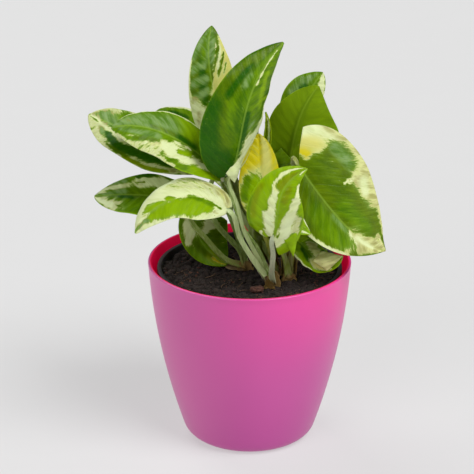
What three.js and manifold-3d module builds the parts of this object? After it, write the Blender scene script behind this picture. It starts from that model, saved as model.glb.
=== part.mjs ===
/*
 * Potted pothos with cream and green leaves, in a magenta planter.
 * Millimetres, +Z up. The origin is the middle of the planter's flat foot.
 * The front of the plant is towards -Y.
 */
import * as THREE from 'three';
import { mergeVertices } from 'three/addons/utils/BufferGeometryUtils.js';
import Module from 'manifold-3d';

const wasm = await Module();
wasm.setup();

// Planter
const POT_HEIGHT = 101;
const POT_RIM_RADIUS = 55;
const POT_HEEL_RADIUS = 36.6;
const POT_HEEL_HEIGHT = 5.5;
const POT_FOOT_RADIUS = 28;
const POT_BOW = 3.2;
const POT_WALL = 1.8;
const POT_FLOOR = 2.2;
const POT_FOOT_CURVE = [5, 1.3];
const POT_LEVELS = [POT_HEEL_HEIGHT, 20, 38, 57, 78];
const LIP_ROUND = 0.5;

// Nursery pot that stands in the planter
const LINER_RIM_RADIUS = 50.2;
const LINER_LIP_HEIGHT = 4;
const LINER_LIP_STEP = 1.2;
const LINER_TOP = 97.6;
const LINER_FOOT_RADIUS = 26;
const LINER_BASE_RADIUS = 33.5;
const LINER_BASE_RISE = 6.5;
const LINER_WALL = 1.2;
const LINER_ROUND = 0.6;
const DRAIN_RADIUS = 2.5;
const DRAIN_RING_RADIUS = 17;
const DRAIN_COUNT = 6;
const DRAIN_SIDES = 10;

// Soil
const SOIL_TOP = 94.5;
const SOIL_RELIEF = 0.9;
const SOIL_RADIUS = 46.8;
const SOIL_RINGS = [0.8, 0.55, 0.28];
const BARK_AT = [3.6, -29];
const BARK_OUTLINE = [[-3.6, -1.6], [-1.2, -2.6], [2.6, -2.2], [3.8, 0.4], [1.6, 2.4], [-2.8, 1.8]];
const BARK_DEPTH = 1.6;
const BARK_BEVEL = 0.6;
const BARK_TURN = 17;
const BARK_TILT = -7;
const STEM_HOLE_RADIUS = 3.6;
const STEM_DEPTH = 22;

// Clearance kept between pieces that touch
const GAP = 0.3;

// Blades
const BLADE_EDGE = 0.8;
const BLADE_MIDRIB = 1.5;
const BLADE_STATIONS = 12;
const BLADE_COLUMNS = [-1, -0.78, -0.45, 0, 0.45, 0.78, 1];
const BLADE_FIRST = 0.012;
const BLADE_LAST = 0.985;
const LOBE_POWER = 0.8;
const WAVE_LAG = 0.37;
const END_CROWDING = 0.6;

// Stalks
const STEM_RADIUS = 3.1;
const STEM_SIDES = 10;
const STEM_NECK = 0.7;
const STALK_RADIUS = 1.2;
const STALK_FLARE = 0.6;
const STALK_TIP_RADIUS = 0.8;
const STALK_BEND = 5;
const STALK_GAP = 0.5;
const STALK_CLEARANCE = 0.45;
const STALK_SIDES = 6;
const STALK_STEPS = 8;

const ROUND_SIDES = 36;
const deg = THREE.MathUtils.degToRad;

/*
 * Leaf blades. Where a value is a pair, it is left then right of the midrib,
 * as seen on the upper face with the tip up.
 * rib    four points that the midrib passes, from the base to the tip
 * face   direction of the upper face at the base and at the tip
 * half   flat half width of each half
 * widest share of the length at which each half is widest
 * point  sharpness of each half at the tip
 * fold   angle of each half at the midrib, positive towards the upper face
 * curl   further turn of each half out to the margin
 * lobe   how far each half reaches back past the base
 * wave   height of the margin's waves, and how many there are
 */
const LEAVES = {
  front_tall: {
    rib: [[-10, -27, 159], [-5, -33, 182], [1, -31, 206], [17, -16, 227]],
    face: [[0.35, -0.85, 0.3], [0.3, -0.8, 0.4]],
    half: [21, 18], widest: [0.36, 0.4], point: [0.85, 0.85],
    fold: [-8, -30], curl: [-10, -20], lobe: [4, 4], wave: [0.8, 2],
    colour: 0x3f7a16,
  },
  back_tall: {
    rib: [[-15, 2, 163], [-17, -3, 187], [-21, -2, 209], [-20, 8, 229]],
    face: [[0, -0.9, 0.3], [0, -0.9, 0.4]],
    half: [13.5, 12], widest: [0.38, 0.52], point: [0.85, 0.7],
    fold: [5, 5], curl: [-10, -10], lobe: [3, 1], wave: [0.8, 2],
    colour: 0x7f9a4a,
  },
  left_front: {
    rib: [[-12, -38, 144.5], [-27, -41, 152.5], [-45, -49, 151.5], [-58, -55, 137.5]],
    face: [[-0.1, -0.6, 0.8], [-0.4, -0.5, 0.75]],
    half: [13, 14], widest: [0.42, 0.42], point: [0.8, 0.8],
    fold: [-5, -5], curl: [-15, -15], lobe: [2, 2], wave: [0.8, 2],
    colour: 0xb9c66a,
  },
  left_low: {
    rib: [[-34, -6, 136], [-50, -10, 141], [-66, -13, 143], [-82, -13, 142]],
    face: [[0, -0.6, 0.8], [-0.1, -0.55, 0.8]],
    half: [14, 13.5], widest: [0.45, 0.3], point: [0.65, 0.8],
    fold: [5, 5], curl: [-5, -5], lobe: [3, 3], wave: [0.8, 2],
    colour: 0x6d8a4c,
  },
  left_outer: {
    rib: [[-23, -8, 154], [-44, -12, 167], [-65, -14, 179], [-84, -10, 186]],
    face: [[0.2, -0.6, 0.8], [-0.2, -0.6, 0.8]],
    half: [16, 14], widest: [0.55, 0.5], point: [0.75, 0.75],
    fold: [0, 0], curl: [-5, -5], lobe: [0.5, 1], wave: [0.8, 2],
    colour: 0x8fa458,
  },
  left_arched: {
    rib: [[-14, -20, 154], [-30, -26, 173], [-50, -30, 185], [-71, -28, 185]],
    face: [[0.3, -0.5, 0.7], [-0.3, -0.5, 0.75]],
    half: [16, 15], widest: [0.52, 0.42], point: [0.75, 0.8],
    fold: [0, 0], curl: [-8, -8], lobe: [1, 2.5], wave: [0.8, 2],
    colour: 0x86ad52,
  },
  left_rear: {
    rib: [[-22, 10, 165], [-32, 16, 172], [-42, 20, 176], [-51, 22, 177]],
    face: [[0.1, -0.3, 0.9], [-0.1, -0.3, 0.9]],
    half: [9, 9], widest: [0.42, 0.42], point: [0.8, 0.8],
    fold: [5, 5], curl: [0, 0], lobe: [2, 2], wave: [0.5, 2],
    colour: 0x6f9646,
  },
  small_centre: {
    rib: [[12, -43, 132], [14, -48, 147], [17, -49, 160], [29, -45, 169]],
    face: [[0, -0.95, 0.25], [0.2, -0.9, 0.4]],
    half: [16, 13.5], widest: [0.36, 0.28], point: [0.9, 0.9],
    fold: [10, 10], curl: [-15, -15], lobe: [3, 13], wave: [0.6, 2],
    girth: 1.6,
    colour: 0xa5c64e,
  },
  yellow: {
    rib: [[6, -17, 134], [6, -17, 148], [5, -14, 164], [4.5, -11, 176.5]],
    face: [[0.1, -0.9, 0.3], [0.1, -0.9, 0.3]],
    half: [12, 10], widest: [0.36, 0.42], point: [0.9, 0.8],
    fold: [5, 5], curl: [0, 0], lobe: [2, 2], wave: [0.5, 2],
    colour: 0xc2b944,
  },
  right_big: {
    rib: [[25, -24, 163.5], [36.5, -27, 147.5], [53, -29, 128.5], [71, -27, 116.5]],
    face: [[0.1, -0.9, 0.4], [0.2, -0.9, 0.4]],
    half: [30.5, 18], widest: [0.31, 0.45], point: [0.75, 1.4],
    fold: [0, 0], curl: [-10, -5], lobe: [16, 1.5], wave: [0.8, 3],
    colour: 0x6f9436,
  },
  right_back: {
    rib: [[20, 10, 149], [23, 4, 167], [27, 2, 183], [36, 4, 198]],
    face: [[0.1, 0.9, 0.35], [0.1, 0.9, 0.35]],
    half: [24, 15], widest: [0.42, 0.5], point: [0.8, 0.9],
    fold: [0, 0], curl: [0, 0], lobe: [4, 1], wave: [0.8, 2],
    colour: 0x5d8713,
  },
  right_rear: {
    rib: [[26, 18, 162], [26, 16, 177], [31, 18, 189], [39, 24, 199]],
    face: [[0, -0.9, 0.4], [0, -0.9, 0.4]],
    half: [12, 8.5], widest: [0.55, 0.6], point: [0.8, 0.7],
    fold: [0, 0], curl: [0, 0], lobe: [0.6, 0.6], wave: [0.6, 2],
    colour: 0x4f8f4a,
  },
  pot_left: {
    rib: [[-27, 10, 129], [-29, 8, 116], [-23, 6, 104], [-12, 1, 97]],
    face: [[0.1, -0.9, 0.3], [0.4, -0.7, 0.5]],
    half: [18, 10], widest: [0.42, 0.42], point: [0.8, 0.8],
    fold: [0, 0], curl: [0, 0], lobe: [2, 2], wave: [0.5, 2],
    colour: 0x4d7a2a,
  },
  low_right: {
    rib: [[23, -14, 118], [30, -18, 114], [38, -23, 109], [49, -24, 113]],
    face: [[0.2, -0.7, 0.7], [0.2, -0.7, 0.7]],
    half: [8, 8], widest: [0.42, 0.42], point: [0.8, 0.8],
    fold: [5, 5], curl: [0, 0], lobe: [2, 2], wave: [1.2, 2],
    colour: 0xb9b070,
  },
  under_tip: {
    rib: [[16, -37, 142], [20, -39, 140], [25, -40, 136], [31, -41, 131.5]],
    face: [[0.2, -0.6, 0.8], [0.2, -0.6, 0.8]],
    half: [6, 6], widest: [0.42, 0.42], point: [0.8, 0.8],
    fold: [0, 0], curl: [0, 0], lobe: [1, 1], wave: [0.4, 2],
    colour: 0x9fb955,
  },
  furled: {
    rib: [[4, -6, 153], [6, -6, 164], [8, -5, 175], [8, -4, 186]],
    face: [[0.4, -0.9, 0.2], [0.4, -0.9, 0.2]],
    half: [5, 5], widest: [0.42, 0.42], point: [0.8, 0.8],
    fold: [30, 30], curl: [60, 60], lobe: [0.5, 0.5], wave: [0, 1],
    colour: 0xa9b96a,
  },
  rear_high: {
    rib: [[2, 14, 150], [0, 26, 168], [-5, 36, 180], [-10, 46, 182]],
    face: [[0, 0.5, 0.85], [0, 0.5, 0.85]],
    half: [15, 15], widest: [0.4, 0.4], point: [0.8, 0.8],
    fold: [5, 5], curl: [-10, -10], lobe: [4, 4], wave: [0.8, 2],
    colour: 0x5d8a34,
  },
  rear_right: {
    rib: [[20, 20, 130], [30, 32, 141], [40, 42, 143], [52, 50, 135]],
    face: [[0, 0.4, 0.9], [0.2, 0.5, 0.85]],
    half: [14, 14], widest: [0.4, 0.4], point: [0.8, 0.8],
    fold: [5, 5], curl: [-10, -10], lobe: [4, 4], wave: [0.8, 2],
    colour: 0x7d9c44,
  },
  rear_left: {
    rib: [[-8, 20, 130], [-20, 32, 140], [-32, 42, 142], [-44, 48, 134]],
    face: [[0, 0.4, 0.9], [-0.2, 0.5, 0.85]],
    half: [14, 14], widest: [0.4, 0.4], point: [0.8, 0.8],
    fold: [5, 5], curl: [-10, -10], lobe: [4, 4], wave: [0.8, 2],
    colour: 0x6a8f3e,
  },
  rear_low: {
    rib: [[8, 14, 116], [9, 28, 124], [11, 42, 122], [12, 54, 112]],
    face: [[0, 0.4, 0.9], [0, 0.6, 0.8]],
    half: [14, 14], widest: [0.4, 0.4], point: [0.8, 0.8],
    fold: [5, 5], curl: [-10, -10], lobe: [4, 4], wave: [0.8, 2],
    colour: 0x86a353,
  },
};

/* A cubic that passes four points, at the start, at each third and at the end. */
function curveThrough(points) {
  const [start, third, late, end] = points.map((p) => new THREE.Vector3(...p));
  const first = start.clone().multiplyScalar(-5).addScaledVector(third, 18);
  first.addScaledVector(late, -9).addScaledVector(end, 2).divideScalar(6);
  const second = start.clone().multiplyScalar(2).addScaledVector(third, -9);
  second.addScaledVector(late, 18).addScaledVector(end, -5).divideScalar(6);
  return new THREE.CubicBezierCurve3(start, first, second, end);
}

/* Share of the full half width at station t: round at the base, pointed at the tip. */
function ovate(t, widest, point) {
  const rise = (point * widest) / (1 - widest);
  return (t / widest) ** rise * ((1 - t) / (1 - widest)) ** point;
}

/* Along, face and side directions of a blade at station t. */
function bladeFrame(leaf, t) {
  const along = leaf.curve.getTangent(t);
  const face = new THREE.Vector3(...leaf.face[0]).lerp(new THREE.Vector3(...leaf.face[1]), t);
  face.addScaledVector(along, -face.dot(along)).normalize();
  const side = along.clone().cross(face);
  return { along, face, side };
}

/*
 * Point of the blade's middle surface at station t and at s, from -1 left to 1 right.
 * swell widens the blade by that much on each side.
 */
function bladePoint(leaf, t, s, swell = 0) {
  const { along, face, side } = bladeFrame(leaf, t);
  const hand = s < 0 ? 0 : 1;
  const reach = Math.abs(s);
  const share = ovate(t, leaf.widest[hand], leaf.point[hand]);
  const width = leaf.half[hand] * share + swell;
  const fold = deg(leaf.fold[hand]);
  const curl = deg(leaf.curl[hand]) || 1e-6;
  const turned = fold + curl * reach;
  const out = (width * (Math.sin(turned) - Math.sin(fold))) / curl;
  const rise = (width * (Math.cos(fold) - Math.cos(turned))) / curl;
  const [height, count] = leaf.wave;
  const ripple = height * share * reach * reach * Math.sin(2 * Math.PI * (count * t + WAVE_LAG * hand));
  const back = leaf.lobe[hand] * reach ** LOBE_POWER * (1 - t) ** 4;
  return leaf.curve.getPoint(t)
    .addScaledVector(side, Math.sign(s) * out)
    .addScaledVector(face, rise + ripple)
    .addScaledVector(along, -back);
}

/* Unit normal of the middle surface, towards the upper face. */
function bladeNormal(leaf, t, s) {
  const step = 0.002;
  const across = bladePoint(leaf, t, Math.min(1, s + step));
  across.sub(bladePoint(leaf, t, Math.max(-1, s - step)));
  const up = bladePoint(leaf, t + step, s).sub(bladePoint(leaf, t - step, s));
  return across.cross(up).normalize();
}

/* One closed solid from rows of points and triangles. */
function solid(points, triangles) {
  const geometry = new THREE.BufferGeometry();
  const places = points.flatMap((p) => [p.x, p.y, p.z]);
  geometry.setAttribute('position', new THREE.Float32BufferAttribute(places, 3));
  geometry.setIndex(triangles.flat());
  return geometry;
}

/*
 * A blade: the same triangles on its upper and lower face, closed by a rim.
 * swell grows it on all sides, to clear room for it in another piece.
 */
function bladeGeometry(leaf, swell = 0) {
  const columns = BLADE_COLUMNS.length;
  const rows = BLADE_STATIONS + 1;
  const upper = [];
  const lower = [];
  for (let row = 0; row < rows; row += 1) {
    const even = row / BLADE_STATIONS;
    const eased = even - (END_CROWDING * Math.sin(2 * Math.PI * even)) / (2 * Math.PI);
    const t = THREE.MathUtils.lerp(BLADE_FIRST, BLADE_LAST, eased);
    const { along } = bladeFrame(leaf, t);
    for (const s of BLADE_COLUMNS) {
      const thickness = s === 0 ? BLADE_MIDRIB : BLADE_EDGE;
      const back = row === 0 ? swell * (1 + Math.abs(s)) : 0;
      const middle = bladePoint(leaf, t, s, swell).addScaledVector(along, -back);
      const normal = bladeNormal(leaf, t, s);
      upper.push(middle.clone().addScaledVector(normal, BLADE_EDGE / 2 + swell));
      lower.push(middle.clone().addScaledVector(normal, BLADE_EDGE / 2 - thickness - swell));
    }
  }
  const below = rows * columns;
  const at = (row, column) => row * columns + column;
  const triangles = [];
  for (let row = 0; row + 1 < rows; row += 1) {
    for (let column = 0; column + 1 < columns; column += 1) {
      const [a, b] = [at(row, column), at(row, column + 1)];
      const [d, c] = [a + columns, b + columns];
      const pair = column < columns / 2 - 1 ? [[a, b, d], [b, c, d]] : [[a, b, c], [a, c, d]];
      for (const [p, q, r] of pair) {
        triangles.push([p, q, r], [p + below, r + below, q + below]);
      }
    }
  }
  const rim = [];
  for (let column = 0; column < columns; column += 1) rim.push(at(0, column));
  for (let row = 1; row < rows; row += 1) rim.push(at(row, columns - 1));
  for (let column = columns - 2; column >= 0; column -= 1) rim.push(at(rows - 1, column));
  for (let row = rows - 2; row > 0; row -= 1) rim.push(at(row, 0));
  rim.forEach((here, index) => {
    const next = rim[(index + 1) % rim.length];
    triangles.push([here, here + below, next + below], [here, next + below, next]);
  });
  return solid([...upper, ...lower], triangles);
}

/* A closed tube along a curve, with its radius given as a function of the run. */
function stalkGeometry(curve, radiusAt, steps = STALK_STEPS, sides = STALK_SIDES) {
  const frames = curve.computeFrenetFrames(steps, false);
  const points = [];
  const triangles = [];
  for (let step = 0; step <= steps; step += 1) {
    const u = step / steps;
    const centre = curve.getPointAt(u);
    const radius = radiusAt(u);
    for (let corner = 0; corner < sides; corner += 1) {
      const angle = (2 * Math.PI * corner) / sides;
      points.push(centre.clone()
        .addScaledVector(frames.normals[step], radius * Math.cos(angle))
        .addScaledVector(frames.binormals[step], radius * Math.sin(angle)));
    }
  }
  for (let step = 0; step < steps; step += 1) {
    for (let corner = 0; corner < sides; corner += 1) {
      const a = step * sides + corner;
      const b = step * sides + ((corner + 1) % sides);
      triangles.push([a, b, b + sides], [a, b + sides, a + sides]);
    }
  }
  for (let corner = 1; corner + 1 < sides; corner += 1) {
    const last = steps * sides;
    triangles.push([0, corner + 1, corner], [last, last + corner, last + corner + 1]);
  }
  return solid(points, triangles);
}

/* A three.js geometry as a solid that can be joined and cut. */
function toSolid(geometry) {
  const bare = geometry.clone();
  bare.deleteAttribute('normal');
  bare.deleteAttribute('uv');
  const merged = mergeVertices(bare, 1e-4);
  return new wasm.Manifold(new wasm.Mesh({
    numProp: 3,
    vertProperties: new Float32Array(merged.attributes.position.array),
    triVerts: new Uint32Array(merged.index.array),
  }));
}

/* A joined or cut solid back as a three.js geometry. */
function toGeometry(body) {
  const mesh = body.getMesh();
  const geometry = new THREE.BufferGeometry();
  geometry.setAttribute('position', new THREE.BufferAttribute(new Float32Array(mesh.vertProperties), 3));
  geometry.setIndex(new THREE.BufferAttribute(new Uint32Array(mesh.triVerts), 1));
  return geometry;
}

/* A turned form about the Z axis, from radius and height pairs that start and end on the axis. */
function turned(profile, sides = ROUND_SIDES) {
  const geometry = new THREE.LatheGeometry(profile.map(([r, z]) => new THREE.Vector2(r, z)), sides);
  return geometry.rotateX(Math.PI / 2);
}

const plant = new THREE.Group();

/* Adds one named piece with its own finish. */
function addPiece(name, geometry, colour, roughness) {
  const material = new THREE.MeshStandardMaterial({ color: colour, roughness, metalness: 0 });
  const mesh = new THREE.Mesh(geometry, material);
  mesh.name = name;
  plant.add(mesh);
  return mesh;
}

for (const [name, leaf] of Object.entries(LEAVES)) {
  leaf.curve = curveThrough(leaf.rib);
  addPiece(`leaf_${name}`, bladeGeometry(leaf), leaf.colour, 0.4);
}

/* Outer radius of the planter's wall at a height above its heel. */
function potWallRadius(z) {
  const u = (z - POT_HEEL_HEIGHT) / (POT_HEIGHT - POT_HEEL_HEIGHT);
  return THREE.MathUtils.lerp(POT_HEEL_RADIUS, POT_RIM_RADIUS, u) + 4 * POT_BOW * u * (1 - u);
}

/* The planter: flat foot, rounded heel, bowed wall and thin lip, open at the top. */
function planterGeometry() {
  const outside = POT_LEVELS.map((z) => [potWallRadius(z), z]);
  const heelInside = POT_HEEL_HEIGHT + POT_WALL / 2;
  const inside = POT_LEVELS.map((z) => [potWallRadius(z) - POT_WALL, Math.max(z, heelInside)]).reverse();
  return turned([
    [0, 0],
    [POT_FOOT_RADIUS, 0],
    [POT_FOOT_RADIUS + POT_FOOT_CURVE[0], POT_FOOT_CURVE[1]],
    ...outside,
    [POT_RIM_RADIUS, POT_HEIGHT - LIP_ROUND],
    [POT_RIM_RADIUS - LIP_ROUND, POT_HEIGHT],
    [POT_RIM_RADIUS - POT_WALL, POT_HEIGHT],
    ...inside,
    [POT_FOOT_RADIUS, POT_FLOOR],
    [0, POT_FLOOR],
  ]);
}
addPiece('planter', planterGeometry(), 0xc8558f, 0.45);

/* The nursery pot: stepped foot, tapered wall, turned lip and drain holes. */
function linerGeometry() {
  const foot = POT_FLOOR + GAP;
  const base = foot + LINER_BASE_RISE;
  const wallTop = LINER_RIM_RADIUS - LINER_LIP_STEP;
  const cup = toSolid(turned([
    [0, foot],
    [LINER_FOOT_RADIUS, foot],
    [LINER_BASE_RADIUS, base],
    [wallTop, LINER_TOP - LINER_LIP_HEIGHT],
    [LINER_RIM_RADIUS, LINER_TOP - LINER_LIP_HEIGHT + LINER_ROUND],
    [LINER_RIM_RADIUS, LINER_TOP - LINER_ROUND],
    [LINER_RIM_RADIUS - LINER_ROUND, LINER_TOP],
    [wallTop - LINER_WALL, LINER_TOP],
    [LINER_BASE_RADIUS - LINER_WALL, base + LINER_WALL / 4],
    [LINER_FOOT_RADIUS - LINER_WALL / 3, foot + LINER_WALL],
    [0, foot + LINER_WALL],
  ]));
  const drill = new THREE.CylinderGeometry(DRAIN_RADIUS, DRAIN_RADIUS, 4 * LINER_WALL, DRAIN_SIDES);
  drill.rotateX(Math.PI / 2).translate(DRAIN_RING_RADIUS, 0, foot);
  let drained = cup;
  for (let hole = 0; hole < DRAIN_COUNT; hole += 1) {
    drained = drained.subtract(toSolid(drill));
    drill.rotateZ((2 * Math.PI) / DRAIN_COUNT);
  }
  return toGeometry(drained);
}
addPiece('nursery_pot', linerGeometry(), 0x2a2b2d, 0.6);

/* Height of the soil's uneven top: two crossing swells, each with its own length in mm. */
function soilHeight(x, y) {
  const short = Math.sin(x / 9 + 1) * Math.cos(y / 8);
  const long = Math.cos((x - y) / 14);
  return SOIL_TOP + SOIL_RELIEF * (short - long);
}

/*
 * Rooted stems. at is where the stem leaves the soil. Each stalk is a list of
 * points between the stem and the foot of the blade that it carries.
 */
const STEMS = {
  front: {
    at: [12, -22.5],
    height: 4,
    stalks: {
      left_front: [[4, -26, 108], [-5, -30, 125]],
      left_arched: [[5, -23, 115], [-5, -22, 131]],
      front_tall: [[3, -24, 114], [-3, -25, 127], [-7, -26, 143]],
      small_centre: [[13, -26, 104], [13, -33, 117]],
    },
  },
  right: {
    at: [21, -15],
    height: 3.5,
    stalks: {
      right_big: [[23, -15, 118], [24, -14, 146]],
      right_back: [[19, -10, 111], [18, 0, 130]],
      low_right: [[20, -12, 108], [19, -12, 118]],
      under_tip: [[19, -18, 108], [13, -26, 128]],
      rear_right: [[22, -4, 108], [20, 9, 121]],
      right_rear: [[24, -4, 112], [27, 6, 132], [28, 18, 148]],
    },
  },
  middle: {
    at: [14, -7],
    height: 3.5,
    stalks: {
      back_tall: [[11, -8, 106], [-3, -5, 126], [-12, 0, 147]],
      yellow: [[11, -10, 110]],
      furled: [[11, -5, 112], [4, -5, 135]],
      rear_high: [[12, 2, 112], [7, 10, 132]],
      rear_low: [[13, 2, 102]],
    },
  },
  left: {
    at: [-2, 2],
    height: 3,
    stalks: {
      left_low: [[-12, 1, 100], [-24, -1, 114], [-32, -3, 126]],
      left_outer: [[-5, 2, 105], [-18, 0, 122], [-22, -4, 140]],
      left_rear: [[-6, 6, 112], [-14, 8, 140]],
      pot_left: [[-6, 8, 110], [-14, 13, 128], [-22, 13, 134]],
      rear_left: [[-4, 8, 108]],
    },
  },
};

/* One rooted stem with its stalks, joined in one body and cut back from its own blades. */
function stemGeometry({ at, height, stalks }) {
  const foot = new THREE.Vector3(at[0], at[1], SOIL_TOP - STEM_DEPTH);
  const neck = new THREE.Vector3(at[0], at[1], SOIL_TOP + height);
  const stump = new THREE.LineCurve3(foot, neck);
  const stumpRadius = (u) => (u === 1 ? STEM_RADIUS * STEM_NECK : STEM_RADIUS);
  let body = toSolid(stalkGeometry(stump, stumpRadius, STALK_STEPS, STEM_SIDES));
  const root = new THREE.Vector3(at[0], at[1], SOIL_TOP + STALK_RADIUS + STALK_FLARE);
  for (const [name, way] of Object.entries(stalks)) {
    const leaf = LEAVES[name];
    const { along, face } = bladeFrame(leaf, BLADE_FIRST);
    const joint = bladePoint(leaf, BLADE_FIRST, 0).addScaledVector(face, (BLADE_EDGE - BLADE_MIDRIB) / 2);
    const end = joint.clone().addScaledVector(along, -STALK_GAP);
    const bend = joint.clone().addScaledVector(along, -STALK_BEND);
    const route = new THREE.CatmullRomCurve3([root, ...way.map((p) => new THREE.Vector3(...p)), bend, end]);
    const girth = leaf.girth ?? STALK_RADIUS;
    const taper = (u) => THREE.MathUtils.lerp(girth + STALK_FLARE, girth, u);
    const radiusAt = (u) => (u === 1 ? STALK_TIP_RADIUS : taper(u));
    body = body.add(toSolid(stalkGeometry(route, radiusAt)));
    body = body.subtract(toSolid(bladeGeometry(leaf, STALK_CLEARANCE)));
  }
  return toGeometry(body);
}
for (const [name, stem] of Object.entries(STEMS)) {
  addPiece(`stem_${name}`, stemGeometry(stem), 0xa9bd7d, 0.45);
}

/* The soil: it fills the nursery pot, its top is uneven, and each stem has a plain hole. */
function soilGeometry() {
  const floor = POT_FLOOR + LINER_WALL + 2 * GAP;
  const profile = [
    [LINER_FOOT_RADIUS - LINER_WALL, floor],
    [LINER_BASE_RADIUS - LINER_WALL - 2 * GAP, floor + LINER_BASE_RISE - GAP],
    [SOIL_RADIUS, SOIL_TOP],
  ];
  const rings = [...profile, ...SOIL_RINGS.map((share) => [SOIL_RADIUS * share, SOIL_TOP])];
  const lathe = turned([[0, floor], ...rings, [0, SOIL_TOP]]);
  const places = lathe.attributes.position;
  for (let index = 0; index < places.count; index += 1) {
    if (places.getZ(index) > SOIL_TOP - GAP) {
      places.setZ(index, soilHeight(places.getX(index), places.getY(index)));
    }
  }
  let body = toSolid(lathe);
  for (const { at } of Object.values(STEMS)) {
    const hole = new THREE.CylinderGeometry(STEM_HOLE_RADIUS, STEM_HOLE_RADIUS, 2 * STEM_DEPTH, STEM_SIDES);
    hole.rotateX(Math.PI / 2).translate(at[0], at[1], SOIL_TOP - GAP);
    body = body.subtract(toSolid(hole));
  }
  return toGeometry(body);
}
addPiece('soil', soilGeometry(), 0x2b211c, 0.95);

/* A chip of bark that lies flat on the soil. */
function barkGeometry() {
  const outline = new THREE.Shape(BARK_OUTLINE.map(([x, y]) => new THREE.Vector2(x, y)));
  const chip = new THREE.ExtrudeGeometry(outline, {
    depth: BARK_DEPTH,
    bevelThickness: BARK_BEVEL,
    bevelSize: BARK_BEVEL,
    bevelSegments: 1,
  });
  chip.rotateZ(deg(BARK_TURN)).rotateX(deg(BARK_TILT));
  return chip.translate(BARK_AT[0], BARK_AT[1], soilHeight(...BARK_AT) + BARK_BEVEL + 2 * GAP);
}
addPiece('bark_chip', barkGeometry(), 0x5a3528, 0.9);

export default plant;
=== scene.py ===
import math

import bmesh
import bpy
import numpy as np
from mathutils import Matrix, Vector
from mathutils import noise as field


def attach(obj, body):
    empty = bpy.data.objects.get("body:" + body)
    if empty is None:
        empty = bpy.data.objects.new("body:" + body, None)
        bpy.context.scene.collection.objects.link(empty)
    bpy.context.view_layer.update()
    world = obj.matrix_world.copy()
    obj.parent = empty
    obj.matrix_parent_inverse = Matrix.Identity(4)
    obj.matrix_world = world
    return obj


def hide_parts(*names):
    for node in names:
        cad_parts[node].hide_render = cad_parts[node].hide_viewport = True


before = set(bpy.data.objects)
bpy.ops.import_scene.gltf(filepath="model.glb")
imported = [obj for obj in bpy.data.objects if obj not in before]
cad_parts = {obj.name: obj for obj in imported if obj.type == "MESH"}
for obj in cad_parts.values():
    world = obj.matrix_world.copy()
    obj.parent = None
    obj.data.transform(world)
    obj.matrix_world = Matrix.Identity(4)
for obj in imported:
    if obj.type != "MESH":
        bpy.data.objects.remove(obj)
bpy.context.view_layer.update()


# Planter
# One moulded pot of satin magenta plastic, with bowed sides, a rounded heel and a thin lip.
# It is injection moulded in one shot, so its skin is even, with a very fine orange peel.
MM = 0.001
POT_HEIGHT = 101
POT_RIM = 55
POT_HEEL = 36.6
POT_HEEL_HEIGHT = 5.5
POT_HEEL_INSET = 2.1
POT_FOOT = 28
POT_BOW = 3.2
POT_WALL = 1.8
POT_FLOOR = 2.2
INNER_HEEL_HEIGHT = 6.4
INNER_HEEL_INSET = 3.5
LIP_ROUND = 0.7
LIP_EASE = 0.5
WALL_TOP = POT_HEIGHT - 0.8
WALL_LEVELS = 26
ROUND_STEPS = 160


class Wire:
    """An output of a node, in a material or in Geometry Nodes, that Python expressions combine."""

    def __init__(self, tree, socket=None):
        self.tree = tree
        self.socket = socket

    def node(self, kind, inputs=None, output=0, **settings):
        """Adds a node with settings and inputs, and gives one of its outputs."""
        made = self.tree.nodes.new(kind)
        for name, value in settings.items():
            setattr(made, name, value)
        for key, value in (inputs or {}).items():
            if isinstance(value, Wire):
                self.tree.links.new(value.socket, made.inputs[key])
            else:
                made.inputs[key].default_value = value
        return Wire(self.tree, None if output is None else made.outputs[output])

    def math(self, operation, *operands):
        """One step of arithmetic on numbers."""
        return self.node("ShaderNodeMath", dict(enumerate(operands)), operation=operation)

    def __add__(self, other):
        return self.math("ADD", self, other)

    def __sub__(self, other):
        return self.math("SUBTRACT", self, other)

    def __rsub__(self, other):
        return self.math("SUBTRACT", other, self)

    def __mul__(self, other):
        return self.math("MULTIPLY", self, other)

    def __truediv__(self, other):
        return self.math("DIVIDE", self, other)

    def __pow__(self, other):
        return self.math("POWER", self, other)

    __radd__ = __add__
    __rmul__ = __mul__

    def size(self):
        """This number without its sign."""
        return self.math("ABSOLUTE", self)

    def step(self, low, high):
        """0 below low, 1 above high, and smooth between them."""
        inputs = {"Value": self, "From Min": low, "From Max": high}
        return self.node("ShaderNodeMapRange", inputs, interpolation_type="SMOOTHSTEP")

    def mix(self, first, second):
        """The first colour where this is 0 and the second where it is 1."""
        inputs = {"Factor": self, 6: first, 7: second}
        return self.node("ShaderNodeMix", inputs, 2, data_type="RGBA")

    def part(self, axis):
        """This vector's part along an axis."""
        return self.node("ShaderNodeSeparateXYZ", {0: self}, axis)

    def scaled(self, factors):
        """This vector with each part multiplied."""
        return self.node("ShaderNodeVectorMath", {0: self, 1: factors}, operation="MULTIPLY")

    def longer(self, amount):
        """This vector times an amount that may vary."""
        return self.node("ShaderNodeVectorMath", {0: self, "Scale": amount}, operation="SCALE")

    def noise(self, scale, detail=2.0, roughness=0.5):
        """Cloudy noise from 0 to 1 over this vector."""
        inputs = {"Vector": self, "Scale": scale, "Detail": detail, "Roughness": roughness}
        return self.node("ShaderNodeTexNoise", inputs)


def rgb(red, green, blue):
    """A colour on the socket, from its screen values up to 255."""
    share = [value / 255 for value in (red, green, blue)]
    linear = [v / 12.92 if v < 0.04 else ((v + 0.055) / 1.055) ** 2.4 for v in share]
    return (*linear, 1.0)


def new_material(name):
    """An empty material and its wire of Object coordinates."""
    material = bpy.data.materials.new(name)
    material.use_nodes = True
    material.node_tree.nodes.clear()
    place = Wire(material.node_tree).node("ShaderNodeTexCoord", output="Object")
    return material, place


WHITE = rgb(255, 255, 255)
COAT_ROUGHNESS = 0.25


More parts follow.
